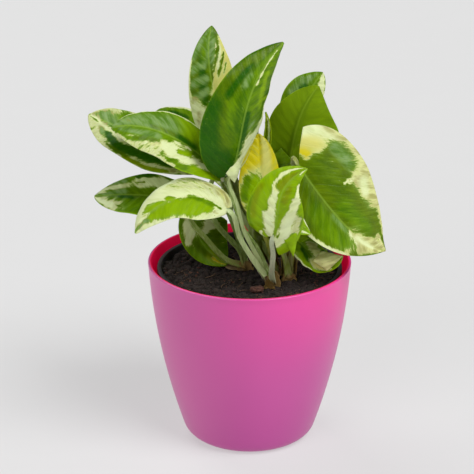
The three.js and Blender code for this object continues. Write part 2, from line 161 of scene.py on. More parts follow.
def finish(
    start, colour, roughness, bump, depth,
    coat=0.0, gloss=0.5, through=0.0, passed=None, glow=0.0, glow_colour=WHITE,
):
    """Ends a material: bump is a height of depth metres, through the share of light that passes."""
    normal = start.node("ShaderNodeBump", {"Height": bump, "Distance": depth, "Strength": 1.0})
    inputs = {
        "Base Color": colour, "Roughness": roughness, "Normal": normal, "Coat Weight": coat,
        "Coat Roughness": COAT_ROUGHNESS, "Specular IOR Level": gloss,
        "Emission Color": glow_colour, "Emission Strength": glow,
    }
    shader = start.node("ShaderNodeBsdfPrincipled", inputs)
    if through:
        passing = start.node("ShaderNodeBsdfTranslucent", {"Color": passed})
        shader = start.node("ShaderNodeMixShader", {"Fac": through, 1: shader, 2: passing})
    start.node("ShaderNodeOutputMaterial", {"Surface": shader}, None)


def new_piece(name, points, faces, materials, slot, face_materials=None):
    """A smooth mesh piece that rides with the plant, from points in metres."""
    mesh = bpy.data.meshes.new(name)
    mesh.from_pydata([tuple(p) for p in points], [], [tuple(f) for f in faces])
    for material in materials:
        mesh.materials.append(material)
    if face_materials is not None:
        mesh.polygons.foreach_set("material_index", face_materials)
    mesh.polygons.foreach_set("use_smooth", [True] * len(mesh.polygons))
    mesh.validate()
    piece = bpy.data.objects.new(name, mesh)
    bpy.context.scene.collection.objects.link(piece)
    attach(piece, "root")
    return piece


def outward(piece):
    """Turns the faces of a closed mesh outward."""
    form = bmesh.new()
    form.from_mesh(piece.data)
    bmesh.ops.recalc_face_normals(form, faces=form.faces)
    form.to_mesh(piece.data)
    form.free()


def turned(profile, steps=ROUND_STEPS):
    """Points and faces of a turned body. The profile starts and ends on the axis, in mm."""
    angles = np.arange(steps) * 2 * math.pi / steps
    rings = [
        np.stack([radius * np.cos(angles), radius * np.sin(angles), np.full(steps, z)], 1)
        for radius, z in profile[1:-1]
    ]
    points = np.concatenate([*rings, [[0, 0, profile[0][1]]], [[0, 0, profile[-1][1]]]]) * MM
    first, last = len(points) - 2, len(points) - 1
    faces = []
    for ring in range(len(rings) - 1):
        for step in range(steps):
            after = (step + 1) % steps
            base, top = ring * steps, (ring + 1) * steps
            faces.append((base + step, base + after, top + after, top + step))
    end = (len(rings) - 1) * steps
    for step in range(steps):
        after = (step + 1) % steps
        faces.append((first, after, step))
        faces.append((last, end + step, end + after))
    return points, faces


def arc(start, corner, end, steps):
    """Profile points of a rounded corner."""
    shares = [step / steps for step in range(steps + 1)]
    return [
        tuple((1 - u) ** 2 * a + 2 * u * (1 - u) * b + u * u * c for a, b, c in zip(start, corner, end))
        for u in shares
    ]


def pot_radius(z):
    """Outer radius of the planter's bowed wall."""
    u = (z - POT_HEEL_HEIGHT) / (POT_HEIGHT - POT_HEEL_HEIGHT)
    return POT_HEEL + (POT_RIM - POT_HEEL) * u + 4 * POT_BOW * u * (1 - u)


levels = np.linspace(POT_HEEL_HEIGHT, WALL_TOP, WALL_LEVELS)
inner_rim = POT_RIM - POT_WALL
inner_heel = POT_HEEL - POT_WALL
planter_profile = [
    (0, 0),
    *arc((POT_FOOT, 0), (POT_HEEL - POT_HEEL_INSET, 0), (POT_HEEL, POT_HEEL_HEIGHT), 8),
    *[(pot_radius(z), z) for z in levels[1:]],
    *arc(
        (POT_RIM, POT_HEIGHT - LIP_ROUND), (POT_RIM, POT_HEIGHT), (POT_RIM - LIP_ROUND, POT_HEIGHT), 4
    ),
    *arc(
        (inner_rim + LIP_EASE, POT_HEIGHT), (inner_rim, POT_HEIGHT), (inner_rim, POT_HEIGHT - LIP_EASE), 4
    ),
    *[(pot_radius(z) - POT_WALL, z) for z in levels[::-1] if z > POT_HEEL_HEIGHT + 2],
    *arc(
        (inner_heel, INNER_HEEL_HEIGHT), (POT_HEEL - INNER_HEEL_INSET, POT_FLOOR), (POT_FOOT, POT_FLOOR), 6
    ),
    (0, POT_FLOOR),
]

WALL_PINKS = rgb(198, 76, 154), rgb(203, 80, 158)
FOOT_PAINTED_SHADE_PINK = rgb(182, 62, 146)
RIGHT_PAINTED_LIGHT_PINK = rgb(252, 68, 160)
LEFT_PAINTED_LIGHT_PINK = rgb(236, 112, 182)
INSIDE_PAINTED_LIGHT_PINK = rgb(250, 26, 92)
INSIDE_PAINTED_GLOW = rgb(214, 0, 52)
NO_GLOW = rgb(0, 0, 0)
pink, place = new_material("planter_satin_pink")
peel = place.noise(1100, 3)
broad = place.noise(14, 2)
wear = place.noise(260, 5, 0.65).step(0.55, 0.8)
level_place = place.scaled((1.0, 1.0, 0.0))
from_axis = level_place.node("ShaderNodeVectorMath", {0: level_place}, "Value", operation="LENGTH") / MM
up = (place.part("Z") / MM - POT_HEEL_HEIGHT) / (POT_HEIGHT - POT_HEEL_HEIGHT)
side = place.part("X") / (POT_RIM * MM)
wall_middle = up * (POT_RIM - POT_HEEL) + up * (1.0 - up) * (4 * POT_BOW) + (POT_HEEL - POT_WALL * 0.55)
# Painted light: the inner wall above the soil is bright red and glows red, as light passing through the
# wall.
inner_wall_painted_glow = (wall_middle - from_axis).step(-0.15, 0.15) * up.step(0.02, 0.08)
pink_and_painted_light = broad.step(0.25, 0.75).mix(*WALL_PINKS)
# Painted shade: the pink darkens towards the foot.
pink_and_painted_light = up.step(-0.3, 0.55).mix(FOOT_PAINTED_SHADE_PINK, pink_and_painted_light)
# Painted light: a hotter pink high on the right side, where the key light falls.
pink_and_painted_light = (up.step(0.35, 1.1) * (side * 0.5 + 0.35)).mix(pink_and_painted_light, RIGHT_PAINTED_LIGHT_PINK)
# Painted light: the left side of the pot is lighter.
pink_and_painted_light = ((side * -1.0).step(0.0, 1.0) * 0.6).mix(pink_and_painted_light, LEFT_PAINTED_LIGHT_PINK)
finish(
    place, inner_wall_painted_glow.mix(pink_and_painted_light, INSIDE_PAINTED_LIGHT_PINK), roughness=0.36 + wear * 0.06 + broad * 0.05,
    bump=peel, depth=0.00002, coat=0.12, glow=0.28, glow_colour=inner_wall_painted_glow.mix(NO_GLOW, INSIDE_PAINTED_GLOW),
)
planter = new_piece("planter_shell", *turned(planter_profile), [pink], "planter_plastic")
outward(planter)
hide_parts("planter")


# Nursery pot
# The thin dark grey grower's pot that stands in the planter. Only its turned lip shows.
# It is blow moulded polypropylene with a matte, slightly dusty skin and drain holes in its floor.
LINER_RIM = 50.2
LINER_LIP = 4
LINER_STEP = 1.2
LINER_TOP = 97.6
LINER_FOOT = 26
LINER_HEEL = 4
LINER_BASE = 33.5
LINER_RISE = 6.5
LINER_WALL = 1.2
LINER_ROUND = 0.7
LINER_CREASE = 0.6
LINER_STEPS = 120
GAP = 0.3
DRAINS = 6
DRAIN_RING = 17
DRAIN_RADIUS = 2.5
DRILL_LENGTH = 6
liner_foot = POT_FLOOR + GAP
liner_base = liner_foot + LINER_RISE
liner_wall = LINER_RIM - LINER_STEP
liner_inside = liner_wall - LINER_WALL
lip_foot = LINER_TOP - LINER_LIP
liner_profile = [
    (0, liner_foot),
    *arc((LINER_FOOT, liner_foot), (LINER_FOOT + LINER_HEEL, liner_foot), (LINER_BASE, liner_base), 5),
    (liner_wall, lip_foot),
    *arc((liner_wall + 0.4, lip_foot), (LINER_RIM, lip_foot), (LINER_RIM, lip_foot + LINER_CREASE), 3),
    *arc(
        (LINER_RIM, LINER_TOP - LINER_ROUND), (LINER_RIM, LINER_TOP), (LINER_RIM - LINER_ROUND, LINER_TOP), 4
    ),
    *arc(
        (liner_wall - 0.9, LINER_TOP), (liner_inside, LINER_TOP), (liner_inside, LINER_TOP - LINER_CREASE), 3
    ),
    (LINER_BASE - LINER_WALL, liner_base + 0.3),
    (LINER_FOOT - 0.4, liner_foot + LINER_WALL),
    (0, liner_foot + LINER_WALL),
]

POT_GREY = rgb(34, 35, 38)
DUST_GREY = rgb(92, 86, 82)
grey, place = new_material("nursery_pot_grey")
grain = place.noise(1600, 4, 0.6)
dust = place.noise(180, 4).step(0.5, 0.85)
dusted = (dust * 0.5).mix(POT_GREY, DUST_GREY)
finish(place, dusted, roughness=0.55 + dust * 0.25, bump=grain, depth=0.00004)
liner = new_piece("nursery_pot_shell", *turned(liner_profile, LINER_STEPS), [grey], "nursery_plastic")
outward(liner)
drill_form = bmesh.new()
for hole in range(DRAINS):
    turn = hole * 2 * math.pi / DRAINS
    at = (DRAIN_RING * MM * math.cos(turn), DRAIN_RING * MM * math.sin(turn), liner_foot * MM)
    made = bmesh.ops.create_cone(
        drill_form, cap_ends=True, segments=20,
        radius1=DRAIN_RADIUS * MM, radius2=DRAIN_RADIUS * MM, depth=DRILL_LENGTH * MM,
    )
    bmesh.ops.translate(drill_form, verts=made["verts"], vec=at)
drill_mesh = bpy.data.meshes.new("drain_drill")
drill_form.to_mesh(drill_mesh)
drill_form.free()
drill = bpy.data.objects.new("drain_drill", drill_mesh)
bpy.context.scene.collection.objects.link(drill)
cut = liner.modifiers.new("drains", "BOOLEAN")
cut.object = drill
cut.operation = "DIFFERENCE"


def apply_modifiers(piece):
    """Replaces a piece's mesh by what its modifiers make of it, and removes them."""
    shown = piece.evaluated_get(bpy.context.evaluated_depsgraph_get())
    plain = bpy.data.meshes.new_from_object(shown)
    piece.modifiers.clear()
    piece.data = plain


apply_modifiers(liner)
bpy.data.objects.remove(drill)
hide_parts("nursery_pot")


# Soil
# Dark potting mix of peat, coir fibres and bark crumbs, filled up to just under the pot's lip.
# Its top is loose: crumbs, reddish flakes and short fibres lie on it. Roots hold it together.
SOIL_TOP = 94.5
SOIL_RELIEF = 0.9
SOIL_RADIUS = 46.8
SOIL_SHOULDER = 1.5
SOIL_WAVE_ACROSS = 9
SOIL_WAVE_DEEP = 8
SOIL_WAVE_SLANTED = 14
SOIL_RINGS = 46
SOIL_STEPS = 132
LUMP_PITCH = 0.22
LUMP_HEIGHT = 0.9
LUMP_SINK = 0.6


def soil_height(x, y):
    """Height of the soil's uneven top at a place, all in mm."""
    short = math.sin(x / SOIL_WAVE_ACROSS + 1) * math.cos(y / SOIL_WAVE_DEEP)
    long = math.cos((x - y) / SOIL_WAVE_SLANTED)
    return SOIL_TOP + SOIL_RELIEF * (short - long)


def craggy(x, y, z):
    """Rough noise about 0 at a place."""
    return field.fractal((x, y, z), 0.7, 2.1, 4)


soil_floor = POT_FLOOR + LINER_WALL + 2 * GAP
soil_profile = [
    (0, soil_floor),
    (LINER_FOOT - LINER_WALL, soil_floor),
    (LINER_BASE - LINER_WALL - 2 * GAP, soil_floor + LINER_RISE - GAP),
    (SOIL_RADIUS, SOIL_TOP - SOIL_SHOULDER),
    *[(SOIL_RADIUS * ring / SOIL_RINGS, SOIL_TOP) for ring in range(SOIL_RINGS, 0, -1)],
    (0, SOIL_TOP),
]
soil_points, soil_faces = turned(soil_profile, SOIL_STEPS)
for point in soil_points:
    if point[2] > (SOIL_TOP - GAP) * MM:
        x, y = point[0] / MM, point[1] / MM
        lumps = craggy(x * LUMP_PITCH, y * LUMP_PITCH, 3.0)
        point[2] = (soil_height(x, y) - LUMP_SINK + LUMP_HEIGHT * lumps) * MM

# The kinds of bits that lie loose on the soil
CRUMB, FLAKE, FIBRE = 0.0, 1.0, 2.0
EARTH_BROWNS = rgb(12, 9, 9), rgb(62, 47, 42)
FLAKE_RED = rgb(98, 56, 42)
FIBRE_STRAW = rgb(92, 70, 52)
earth, place = new_material("potting_mix_dark")
clod = place.noise(420, 5, 0.65)
fine = place.noise(1500, 4, 0.6)
kind = place.node("ShaderNodeAttribute", output="Fac", attribute_name="kind")
mould = (clod.step(0.3, 0.75) * 0.7 + fine * 0.3).mix(*EARTH_BROWNS)
mould = kind.step(FLAKE - 0.5, FLAKE).mix(mould, FLAKE_RED)
mould = kind.step(FIBRE - 0.5, FIBRE).mix(mould, FIBRE_STRAW)
finish(place, mould, roughness=0.93, bump=clod + fine * 0.7, depth=0.0009)
soil = new_piece("soil_bed", soil_points, soil_faces, [earth], "potting_mix")
outward(soil)


def new_tree(name, inputs, result):
    """An empty tree of Geometry Nodes, and the wires of its named inputs."""
    tree = bpy.data.node_groups.new(name, "GeometryNodeTree")
    for label, kind_of_socket in inputs.items():
        tree.interface.new_socket(label, in_out="INPUT", socket_type=kind_of_socket)
    tree.interface.new_socket(result, in_out="OUTPUT", socket_type="NodeSocketGeometry")
    outputs = Wire(tree).node("NodeGroupInput").socket.node.outputs
    return tree, [Wire(tree, outputs[label]) for label in inputs]


def grow(piece, tree, settings):
    """Runs a tree on a piece with its named inputs set, and keeps what it makes."""
    growing = piece.modifiers.new(tree.name, "NODES")
    growing.node_group = tree
    for item in tree.interface.items_tree:
        if item.in_out == "INPUT" and item.name in settings:
            growing[item.identifier] = settings[item.name]
    apply_modifiers(piece)


BITS_PER_SQUARE_METRE = 520000.0
TOP_FACING = 0.4
LOOSE_ABOVE = 0.09
MOSTLY_SMALL = 2.2
LEAST_STRETCH, MOST_STRETCH = (0.6, 0.6, 0.5), (1.3, 1.3, 1.0)
ANY_TILT = 3.1
ANY_TURN = 6.28
BIT_WOBBLE = 0.0012
crumb_inputs = {"Soil": "NodeSocketGeometry", "Density": "NodeSocketFloat"}
crumb_tree, (bed, density) = new_tree("crumbs", crumb_inputs, "Soil")
upward = bed.node("GeometryNodeInputNormal").part("Z")
height = bed.node("GeometryNodeInputPosition").part("Z")
top_faces = upward.math("GREATER_THAN", upward, TOP_FACING)
top_faces = top_faces * height.math("GREATER_THAN", height, LOOSE_ABOVE)


def chance(low, high, seed, data_type="FLOAT"):
    """A random value for each scattered bit."""
    slot = 0 if data_type == "FLOAT_VECTOR" else 2
    inputs = {slot: low, slot + 1: high, "Seed": seed}
    return bed.node("FunctionNodeRandomValue", inputs, slot // 2, data_type=data_type)


def scatter(shape, share, low, high, tilt, seed, kind_value):
    """Bits of one shape on the soil's top: share of the density, size from low to high metres."""
    spots = bed.node(
        "GeometryNodeDistributePointsOnFaces",
        {"Mesh": bed, "Selection": top_faces, "Density": density * share, "Seed": seed},
    )
    size = chance(0.0, 1.0, seed + 1) ** MOSTLY_SMALL * (high - low) + low
    stretch = chance(LEAST_STRETCH, MOST_STRETCH, seed + 2, "FLOAT_VECTOR")
    angles = chance((-tilt, -tilt, 0), (tilt, tilt, ANY_TURN), seed + 3, "FLOAT_VECTOR")
    spin = bed.node("FunctionNodeEulerToRotation", {0: angles})
    bits = bed.node(
        "GeometryNodeInstanceOnPoints",
        {"Points": spots, "Instance": shape, "Rotation": spin, "Scale": stretch.longer(size)},
    )
    marked = bed.node(
        "GeometryNodeStoreNamedAttribute",
        {"Geometry": bits, "Name": "kind", "Value": kind_value},
        data_type="FLOAT", domain="INSTANCE",
    )
    return bed.node("GeometryNodeRealizeInstances", {"Geometry": marked})


def joined(parts):
    """Several geometries as one."""
    whole = bed.node("GeometryNodeJoinGeometry")
    for part in parts:
        crumb_tree.links.new(part.socket, whole.socket.node.inputs[0])
    return whole


ball = bed.node("GeometryNodeMeshIcoSphere", {"Radius": 1.0, "Subdivisions": 2})
grit = bed.node("GeometryNodeMeshIcoSphere", {"Radius": 1.0, "Subdivisions": 1})
flat_ball = bed.node("GeometryNodeTransform", {"Geometry": ball, "Scale": (1.4, 0.8, 0.35)})
bend = bed.node(
    "GeometryNodeCurvePrimitiveBezierSegment",
    {"Resolution": 6, "Start": (-1.0, 0.0, 0.0), "Start Handle": (-0.4, 0.5, 0.25),
     "End Handle": (0.4, -0.4, 0.1), "End": (1.0, 0.1, 0.0)},
)
thin = bed.node("GeometryNodeCurvePrimitiveCircle", {"Resolution": 4, "Radius": 0.055})
thread = bed.node("GeometryNodeCurveToMesh", {"Curve": bend, "Profile Curve": thin, "Fill Caps": True})
lumps = scatter(ball, share=0.16, low=0.0008, high=0.0022, tilt=ANY_TILT, seed=11, kind_value=CRUMB)
crumbs = scatter(grit, share=1.0, low=0.0003, high=0.0012, tilt=ANY_TILT, seed=21, kind_value=CRUMB)
flakes = scatter(flat_ball, share=0.05, low=0.0006, high=0.0018, tilt=0.5, seed=31, kind_value=FLAKE)
fibres = scatter(thread, share=0.055, low=0.0016, high=0.0055, tilt=0.35, seed=41, kind_value=FIBRE)
wobble = (bed.node("GeometryNodeInputPosition").noise(700, 3, 0.6) - 0.5) * BIT_WOBBLE
push = bed.node("GeometryNodeInputNormal").longer(wobble)
loose = joined([fibres, flakes, crumbs, lumps])
rough = bed.node("GeometryNodeSetPosition", {"Geometry": loose, "Offset": push})
dressed = bed.node("GeometryNodeSetMaterial", {"Geometry": joined([rough, bed]), "Material": earth})
bed.node("NodeGroupOutput", {"Soil": dressed}, None)
grow(soil, crumb_tree, {"Density": BITS_PER_SQUARE_METRE})
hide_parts("soil")


# Bark chip
# One chip of brown bark, left over from the mix, that lies flat on the soil before the stems.
# It is split wood, so its edges are ragged and its faces show the fibres.
BARK_AT = (3.6, -29)
BARK_OUTLINE = [(-4.0, -1.7), (-1.2, -3.0), (2.9, -2.5), (4.2, 0.5), (1.8, 2.8), (-3.1, 2.0)]
BARK_THICK = 2.4
BARK_EDGE = 0.5
BARK_LIFT = 0.4
BARK_CRAG_PITCH = 0.9, 1.6, 2.2
BARK_CRAG = 0.05, 0.09, 0.3
BARK_TURN = math.radians(17)
BARK_TILT = math.radians(-7)


def spun(a, b, angle):
    """Two parts of a point, after a turn about the axis of the third."""
    return a * math.cos(angle) - b * math.sin(angle), a * math.sin(angle) + b * math.cos(angle)


bark_form = bmesh.new()
low_ring = [bark_form.verts.new((x, y, 0.0)) for x, y in BARK_OUTLINE]
bark_face = bark_form.faces.new(low_ring)
raised = bmesh.ops.extrude_face_region(bark_form, geom=[bark_face])
top_points = [item for item in raised["geom"] if isinstance(item, bmesh.types.BMVert)]
bmesh.ops.translate(bark_form, verts=top_points, vec=(0, 0, BARK_THICK))
bmesh.ops.recalc_face_normals(bark_form, faces=bark_form.faces)
bmesh.ops.bevel(bark_form, geom=bark_form.edges[:], offset=BARK_EDGE, segments=2, affect="EDGES")
bmesh.ops.triangulate(bark_form, faces=bark_form.faces)
bmesh.ops.subdivide_edges(bark_form, edges=bark_form.edges[:], cuts=3, use_grid_fill=True)
bark_form.verts.index_update()
bark_faces = [[vert.index for vert in face.verts] for face in bark_form.faces]
bark_points = []
for vert in bark_form.verts:
    x, y, z = vert.co
    ragged = craggy(*[part * pitch for part, pitch in zip(vert.co, BARK_CRAG_PITCH)])
    out_x, out_y, out_z = [crag * ragged for crag in BARK_CRAG]
    x, y, z = x * (1 + out_x), y * (1 + out_y), z + out_z
    x, y = spun(x, y, BARK_TURN)
    y, z = spun(y, z, BARK_TILT)
    z += soil_height(*BARK_AT) + BARK_LIFT
    bark_points.append(((x + BARK_AT[0]) * MM, (y + BARK_AT[1]) * MM, z * MM))
bark_form.free()

BARK_BROWNS = rgb(52, 30, 24), rgb(112, 70, 54)
bark_brown, place = new_material("bark_brown")
fibre = place.scaled((260.0, 900.0, 900.0)).noise(1.0, 5, 0.65)
pits = place.noise(300, 3)
bark_tint = fibre.step(0.3, 0.7).mix(*BARK_BROWNS)
finish(place, bark_tint, roughness=0.85, bump=fibre + pits * 0.5, depth=0.0005)
bark = new_piece("bark_chip_brown", bark_points, bark_faces, [bark_brown], "bark")
outward(bark)
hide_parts("bark_chip")


# Leaf blades
# Each blade is one grown, waxy sheet: pointed, folded at its midrib, with puffed fields between
# the side veins and a waved margin. Cream and green lie in streaks that follow the side veins.
BLADE_EDGE = 0.8
BLADE_RIB = 1.5
BLADE_THIN = 0.45
BLADE_FIRST = 0.012
BLADE_LAST = 0.996
LOBE_POWER = 0.8
LOBE_FADE = 4
WAVE_LAG = 0.37
STATIONS = 84
COLUMNS = 45
VEIN_LEAN = 0.9
VEIN_PITCH = 5.2

# rib, face, half, widest, point, fold, curl, lobe and wave are the values of the solid blades
LEAVES = {
    "front_tall": dict(
        rib=[[-10, -27, 159], [-5, -33, 182], [1, -31, 206], [17, -16, 227]],
        face=[[0.35, -0.85, 0.3], [0.3, -0.8, 0.4]],
        half=[21, 18], widest=[0.36, 0.4], point=[0.85, 0.85],
        fold=[-8, -30], curl=[-10, -20], lobe=[4, 4], wave=[0.8, 2],
    ),
    "back_tall": dict(
        rib=[[-15, 2, 163], [-17, -3, 187], [-21, -2, 209], [-20, 8, 229]],
        face=[[0, -0.9, 0.3], [0, -0.9, 0.4]],
        half=[13.5, 12], widest=[0.38, 0.52], point=[0.85, 0.7],
        fold=[5, 5], curl=[-10, -10], lobe=[3, 1], wave=[0.8, 2],
    ),
    "left_front": dict(
        rib=[[-12, -38, 144.5], [-27, -41, 152.5], [-45, -49, 151.5], [-58, -55, 137.5]],
        face=[[-0.1, -0.6, 0.8], [-0.4, -0.5, 0.75]],
        half=[13, 14], widest=[0.42, 0.42], point=[0.8, 0.8],
        fold=[-5, -5], curl=[-15, -15], lobe=[2, 2], wave=[0.8, 2],
    ),
    "left_low": dict(
        rib=[[-34, -6, 136], [-50, -10, 141], [-66, -13, 143], [-82, -13, 142]],
        face=[[0, -0.6, 0.8], [-0.1, -0.55, 0.8]],
        half=[14, 13.5], widest=[0.45, 0.3], point=[0.65, 0.8],
        fold=[5, 5], curl=[-5, -5], lobe=[3, 3], wave=[0.8, 2],
    ),
    "left_outer": dict(
        rib=[[-23, -8, 154], [-44, -12, 167], [-65, -14, 179], [-84, -10, 186]],
        face=[[0.2, -0.6, 0.8], [-0.2, -0.6, 0.8]],
        half=[16, 14], widest=[0.55, 0.5], point=[0.75, 0.75],
        fold=[0, 0], curl=[-5, -5], lobe=[0.5, 1], wave=[0.8, 2],
    ),
    "left_arched": dict(
        rib=[[-14, -20, 154], [-30, -26, 173], [-50, -30, 185], [-71, -28, 185]],
        face=[[0.3, -0.5, 0.7], [-0.3, -0.5, 0.75]],
        half=[16, 15], widest=[0.52, 0.42], point=[0.75, 0.8],
        fold=[0, 0], curl=[-8, -8], lobe=[1, 2.5], wave=[0.8, 2],
    ),
    "left_rear": dict(
        rib=[[-22, 10, 165], [-32, 16, 172], [-42, 20, 176], [-51, 22, 177]],
        face=[[0.1, -0.3, 0.9], [-0.1, -0.3, 0.9]],
        half=[9, 9], widest=[0.42, 0.42], point=[0.8, 0.8],
        fold=[5, 5], curl=[0, 0], lobe=[2, 2], wave=[0.5, 2],
    ),
    "small_centre": dict(
        rib=[[12, -43, 132], [14, -48, 147], [17, -49, 160], [29, -45, 169]],
        face=[[0, -0.95, 0.25], [0.2, -0.9, 0.4]],
        half=[16, 13.5], widest=[0.36, 0.28], point=[0.9, 0.9],
        fold=[10, 10], curl=[-15, -15], lobe=[3, 13], wave=[0.6, 2],
    ),
    "yellow": dict(
        rib=[[6, -17, 134], [6, -17, 148], [5, -14, 164], [4.5, -11, 176.5]],
        face=[[0.1, -0.9, 0.3], [0.1, -0.9, 0.3]],
        half=[12, 10], widest=[0.36, 0.42], point=[0.9, 0.8],
        fold=[5, 5], curl=[0, 0], lobe=[2, 2], wave=[0.5, 2],
    ),
    "right_big": dict(
        rib=[[25, -24, 163.5], [36.5, -27, 147.5], [53, -29, 128.5], [71, -27, 116.5]],
        face=[[0.1, -0.9, 0.4], [0.2, -0.9, 0.4]],
        half=[30.5, 18], widest=[0.31, 0.45], point=[0.75, 1.4],
        fold=[0, 0], curl=[-10, -5], lobe=[16, 1.5], wave=[0.8, 3],
    ),
    "right_back": dict(
        rib=[[20, 10, 149], [23, 4, 167], [27, 2, 183], [36, 4, 198]],
        face=[[0.1, 0.9, 0.35], [0.1, 0.9, 0.35]],
        half=[24, 15], widest=[0.42, 0.5], point=[0.8, 0.9],
        fold=[0, 0], curl=[0, 0], lobe=[4, 1], wave=[0.8, 2],
    ),
    "right_rear": dict(
        rib=[[26, 18, 162], [26, 16, 177], [31, 18, 189], [39, 24, 199]],
        face=[[0, -0.9, 0.4], [0, -0.9, 0.4]],
        half=[12, 8.5], widest=[0.55, 0.6], point=[0.8, 0.7],
        fold=[0, 0], curl=[0, 0], lobe=[0.6, 0.6], wave=[0.6, 2],
    ),
    "pot_left": dict(
        rib=[[-27, 10, 129], [-29, 8, 116], [-23, 6, 104], [-12, 1, 97]],
        face=[[0.1, -0.9, 0.3], [0.4, -0.7, 0.5]],
        half=[18, 10], widest=[0.42, 0.42], point=[0.8, 0.8],
        fold=[0, 0], curl=[0, 0], lobe=[2, 2], wave=[0.5, 2],
    ),
    "low_right": dict(
        rib=[[23, -14, 118], [30, -18, 114], [38, -23, 109], [49, -24, 113]],
        face=[[0.2, -0.7, 0.7], [0.2, -0.7, 0.7]],
        half=[8, 8], widest=[0.42, 0.42], point=[0.8, 0.8],
        fold=[5, 5], curl=[0, 0], lobe=[2, 2], wave=[1.2, 2],
    ),
    "under_tip": dict(
        rib=[[16, -37, 142], [20, -39, 140], [25, -40, 136], [31, -41, 131.5]],
        face=[[0.2, -0.6, 0.8], [0.2, -0.6, 0.8]],
        half=[6, 6], widest=[0.42, 0.42], point=[0.8, 0.8],
        fold=[0, 0], curl=[0, 0], lobe=[1, 1], wave=[0.4, 2],
    ),
    "furled": dict(
        rib=[[4, -6, 153], [6, -6, 164], [8, -5, 175], [8, -4, 186]],
        face=[[0.4, -0.9, 0.2], [0.4, -0.9, 0.2]],
        half=[5, 5], widest=[0.42, 0.42], point=[0.8, 0.8],
        fold=[30, 30], curl=[60, 60], lobe=[0.5, 0.5], wave=[0, 1],
    ),
    "rear_high": dict(
        rib=[[2, 14, 150], [0, 26, 168], [-5, 36, 180], [-10, 46, 182]],
        face=[[0, 0.5, 0.85], [0, 0.5, 0.85]],
        half=[15, 15], widest=[0.4, 0.4], point=[0.8, 0.8],
        fold=[5, 5], curl=[-10, -10], lobe=[4, 4], wave=[0.8, 2],
    ),
    "rear_right": dict(
        rib=[[20, 20, 130], [30, 32, 141], [40, 42, 143], [52, 50, 135]],
        face=[[0, 0.4, 0.9], [0.2, 0.5, 0.85]],
        half=[14, 14], widest=[0.4, 0.4], point=[0.8, 0.8],
        fold=[5, 5], curl=[-10, -10], lobe=[4, 4], wave=[0.8, 2],
    ),
    "rear_left": dict(
        rib=[[-8, 20, 130], [-20, 32, 140], [-32, 42, 142], [-44, 48, 134]],
        face=[[0, 0.4, 0.9], [-0.2, 0.5, 0.85]],
        half=[14, 14], widest=[0.4, 0.4], point=[0.8, 0.8],
        fold=[5, 5], curl=[-10, -10], lobe=[4, 4], wave=[0.8, 2],
    ),
    "rear_low": dict(
        rib=[[8, 14, 116], [9, 28, 124], [11, 42, 122], [12, 54, 112]],
        face=[[0, 0.4, 0.9], [0, 0.6, 0.8]],
        half=[14, 14], widest=[0.4, 0.4], point=[0.8, 0.8],
        fold=[5, 5], curl=[-10, -10], lobe=[4, 4], wave=[0.8, 2],
    ),
}


def curve_through(rib):
    """The four control points of a cubic that passes the rib's points at each third."""
    start, third, late, end = [np.array(point, float) for point in rib]
    first = (-5 * start + 18 * third - 9 * late + 2 * end) / 6
    second = (2 * start - 9 * third + 18 * late - 5 * end) / 6
    return start, first, second, end


def blade_points(leaf, t, s):
    """Middle points and face directions of a blade at arrays of stations t and columns s, in mm."""
    a, b, c, d = leaf["curve"]
    t1, s1 = t[:, None], s[:, None]
    u1 = 1 - t1
    rib = u1**3 * a + 3 * u1**2 * t1 * b + 3 * u1 * t1**2 * c + t1**3 * d
    along = 3 * u1**2 * (b - a) + 6 * u1 * t1 * (c - b) + 3 * t1**2 * (d - c)
    along /= np.linalg.norm(along, axis=1, keepdims=True)
    face = (1 - t1) * np.array(leaf["face"][0]) + t1 * np.array(leaf["face"][1])
    face -= along * np.sum(along * face, 1, keepdims=True)
    face /= np.linalg.norm(face, axis=1, keepdims=True)
    side = np.cross(along, face)
    hand = (s > 0).astype(int)
    reach = np.abs(s)

    def pair(key):
        return np.array(leaf[key], float)[hand]

    widest, point = pair("widest"), pair("point")
    rise_power = point * widest / (1 - widest)
    share = (t / widest) ** rise_power * ((1 - t) / (1 - widest)) ** point
    width = pair("half") * share
    fold, curl = np.radians(pair("fold")), np.radians(pair("curl"))
    curl = np.where(curl == 0, 1e-6, curl)
    turn = fold + curl * reach
    out = width * (np.sin(turn) - np.sin(fold)) / curl
    rise = width * (np.cos(fold) - np.cos(turn)) / curl
    height, count = leaf["wave"]
    ripple = height * share * reach**2 * np.sin(2 * math.pi * (count * t + WAVE_LAG * hand))
    back = pair("lobe") * reach**LOBE_POWER * (1 - t) ** LOBE_FADE
    middle = rib + side * (np.sign(s) * out)[:, None] + face * (rise + ripple)[:, None]
    return middle - along * back[:, None], face, width

# Each ink: how pale, how light, how warm, and how much painted sheen it lays on green (on cream, a tan tint)
INKS = {
    "deep": (0.0, -0.12, 0.05, 0.0),
    "fern": (0.0, 0.22, 0.42, 0.0),
    "moss": (0.0, 0.22, 0.3, 0.0),
    "mid": (0.0, 0.42, 0.1, 0.0),
    "lime": (0.0, 0.92, 0.15, 0.0),
    "olive": (0.0, 0.7, 0.7, 0.0),
    # The grey ink is a painted highlight: the sheen of the waxy skin, laid on as a silvery green.
    "grey": (0.12, 0.42, 0.0, 1.0),
    "cream": (1.0, 0.5, 0.2, 0.0),
    "white": (1.0, 0.5, 0.0, 0.0),
    "butter": (1.0, 0.5, 0.6, 0.0),
    "gold": (1.0, 0.5, 1.0, 0.0),
    "beige": (0.92, 0.5, 0.4, 0.6),
    "mottle": (0.74, 0.45, 0.15, 0.35),
    "tan": (0.85, 0.5, 0.35, 0.8),
}
STROKE_STRETCH = 3.5
STROKE_REACH = 1.7
STROKE_RIM = 1.35
MARGIN_FROM = 0.95
MARGIN_PALE_AND_RIM_LIGHT = 0.55
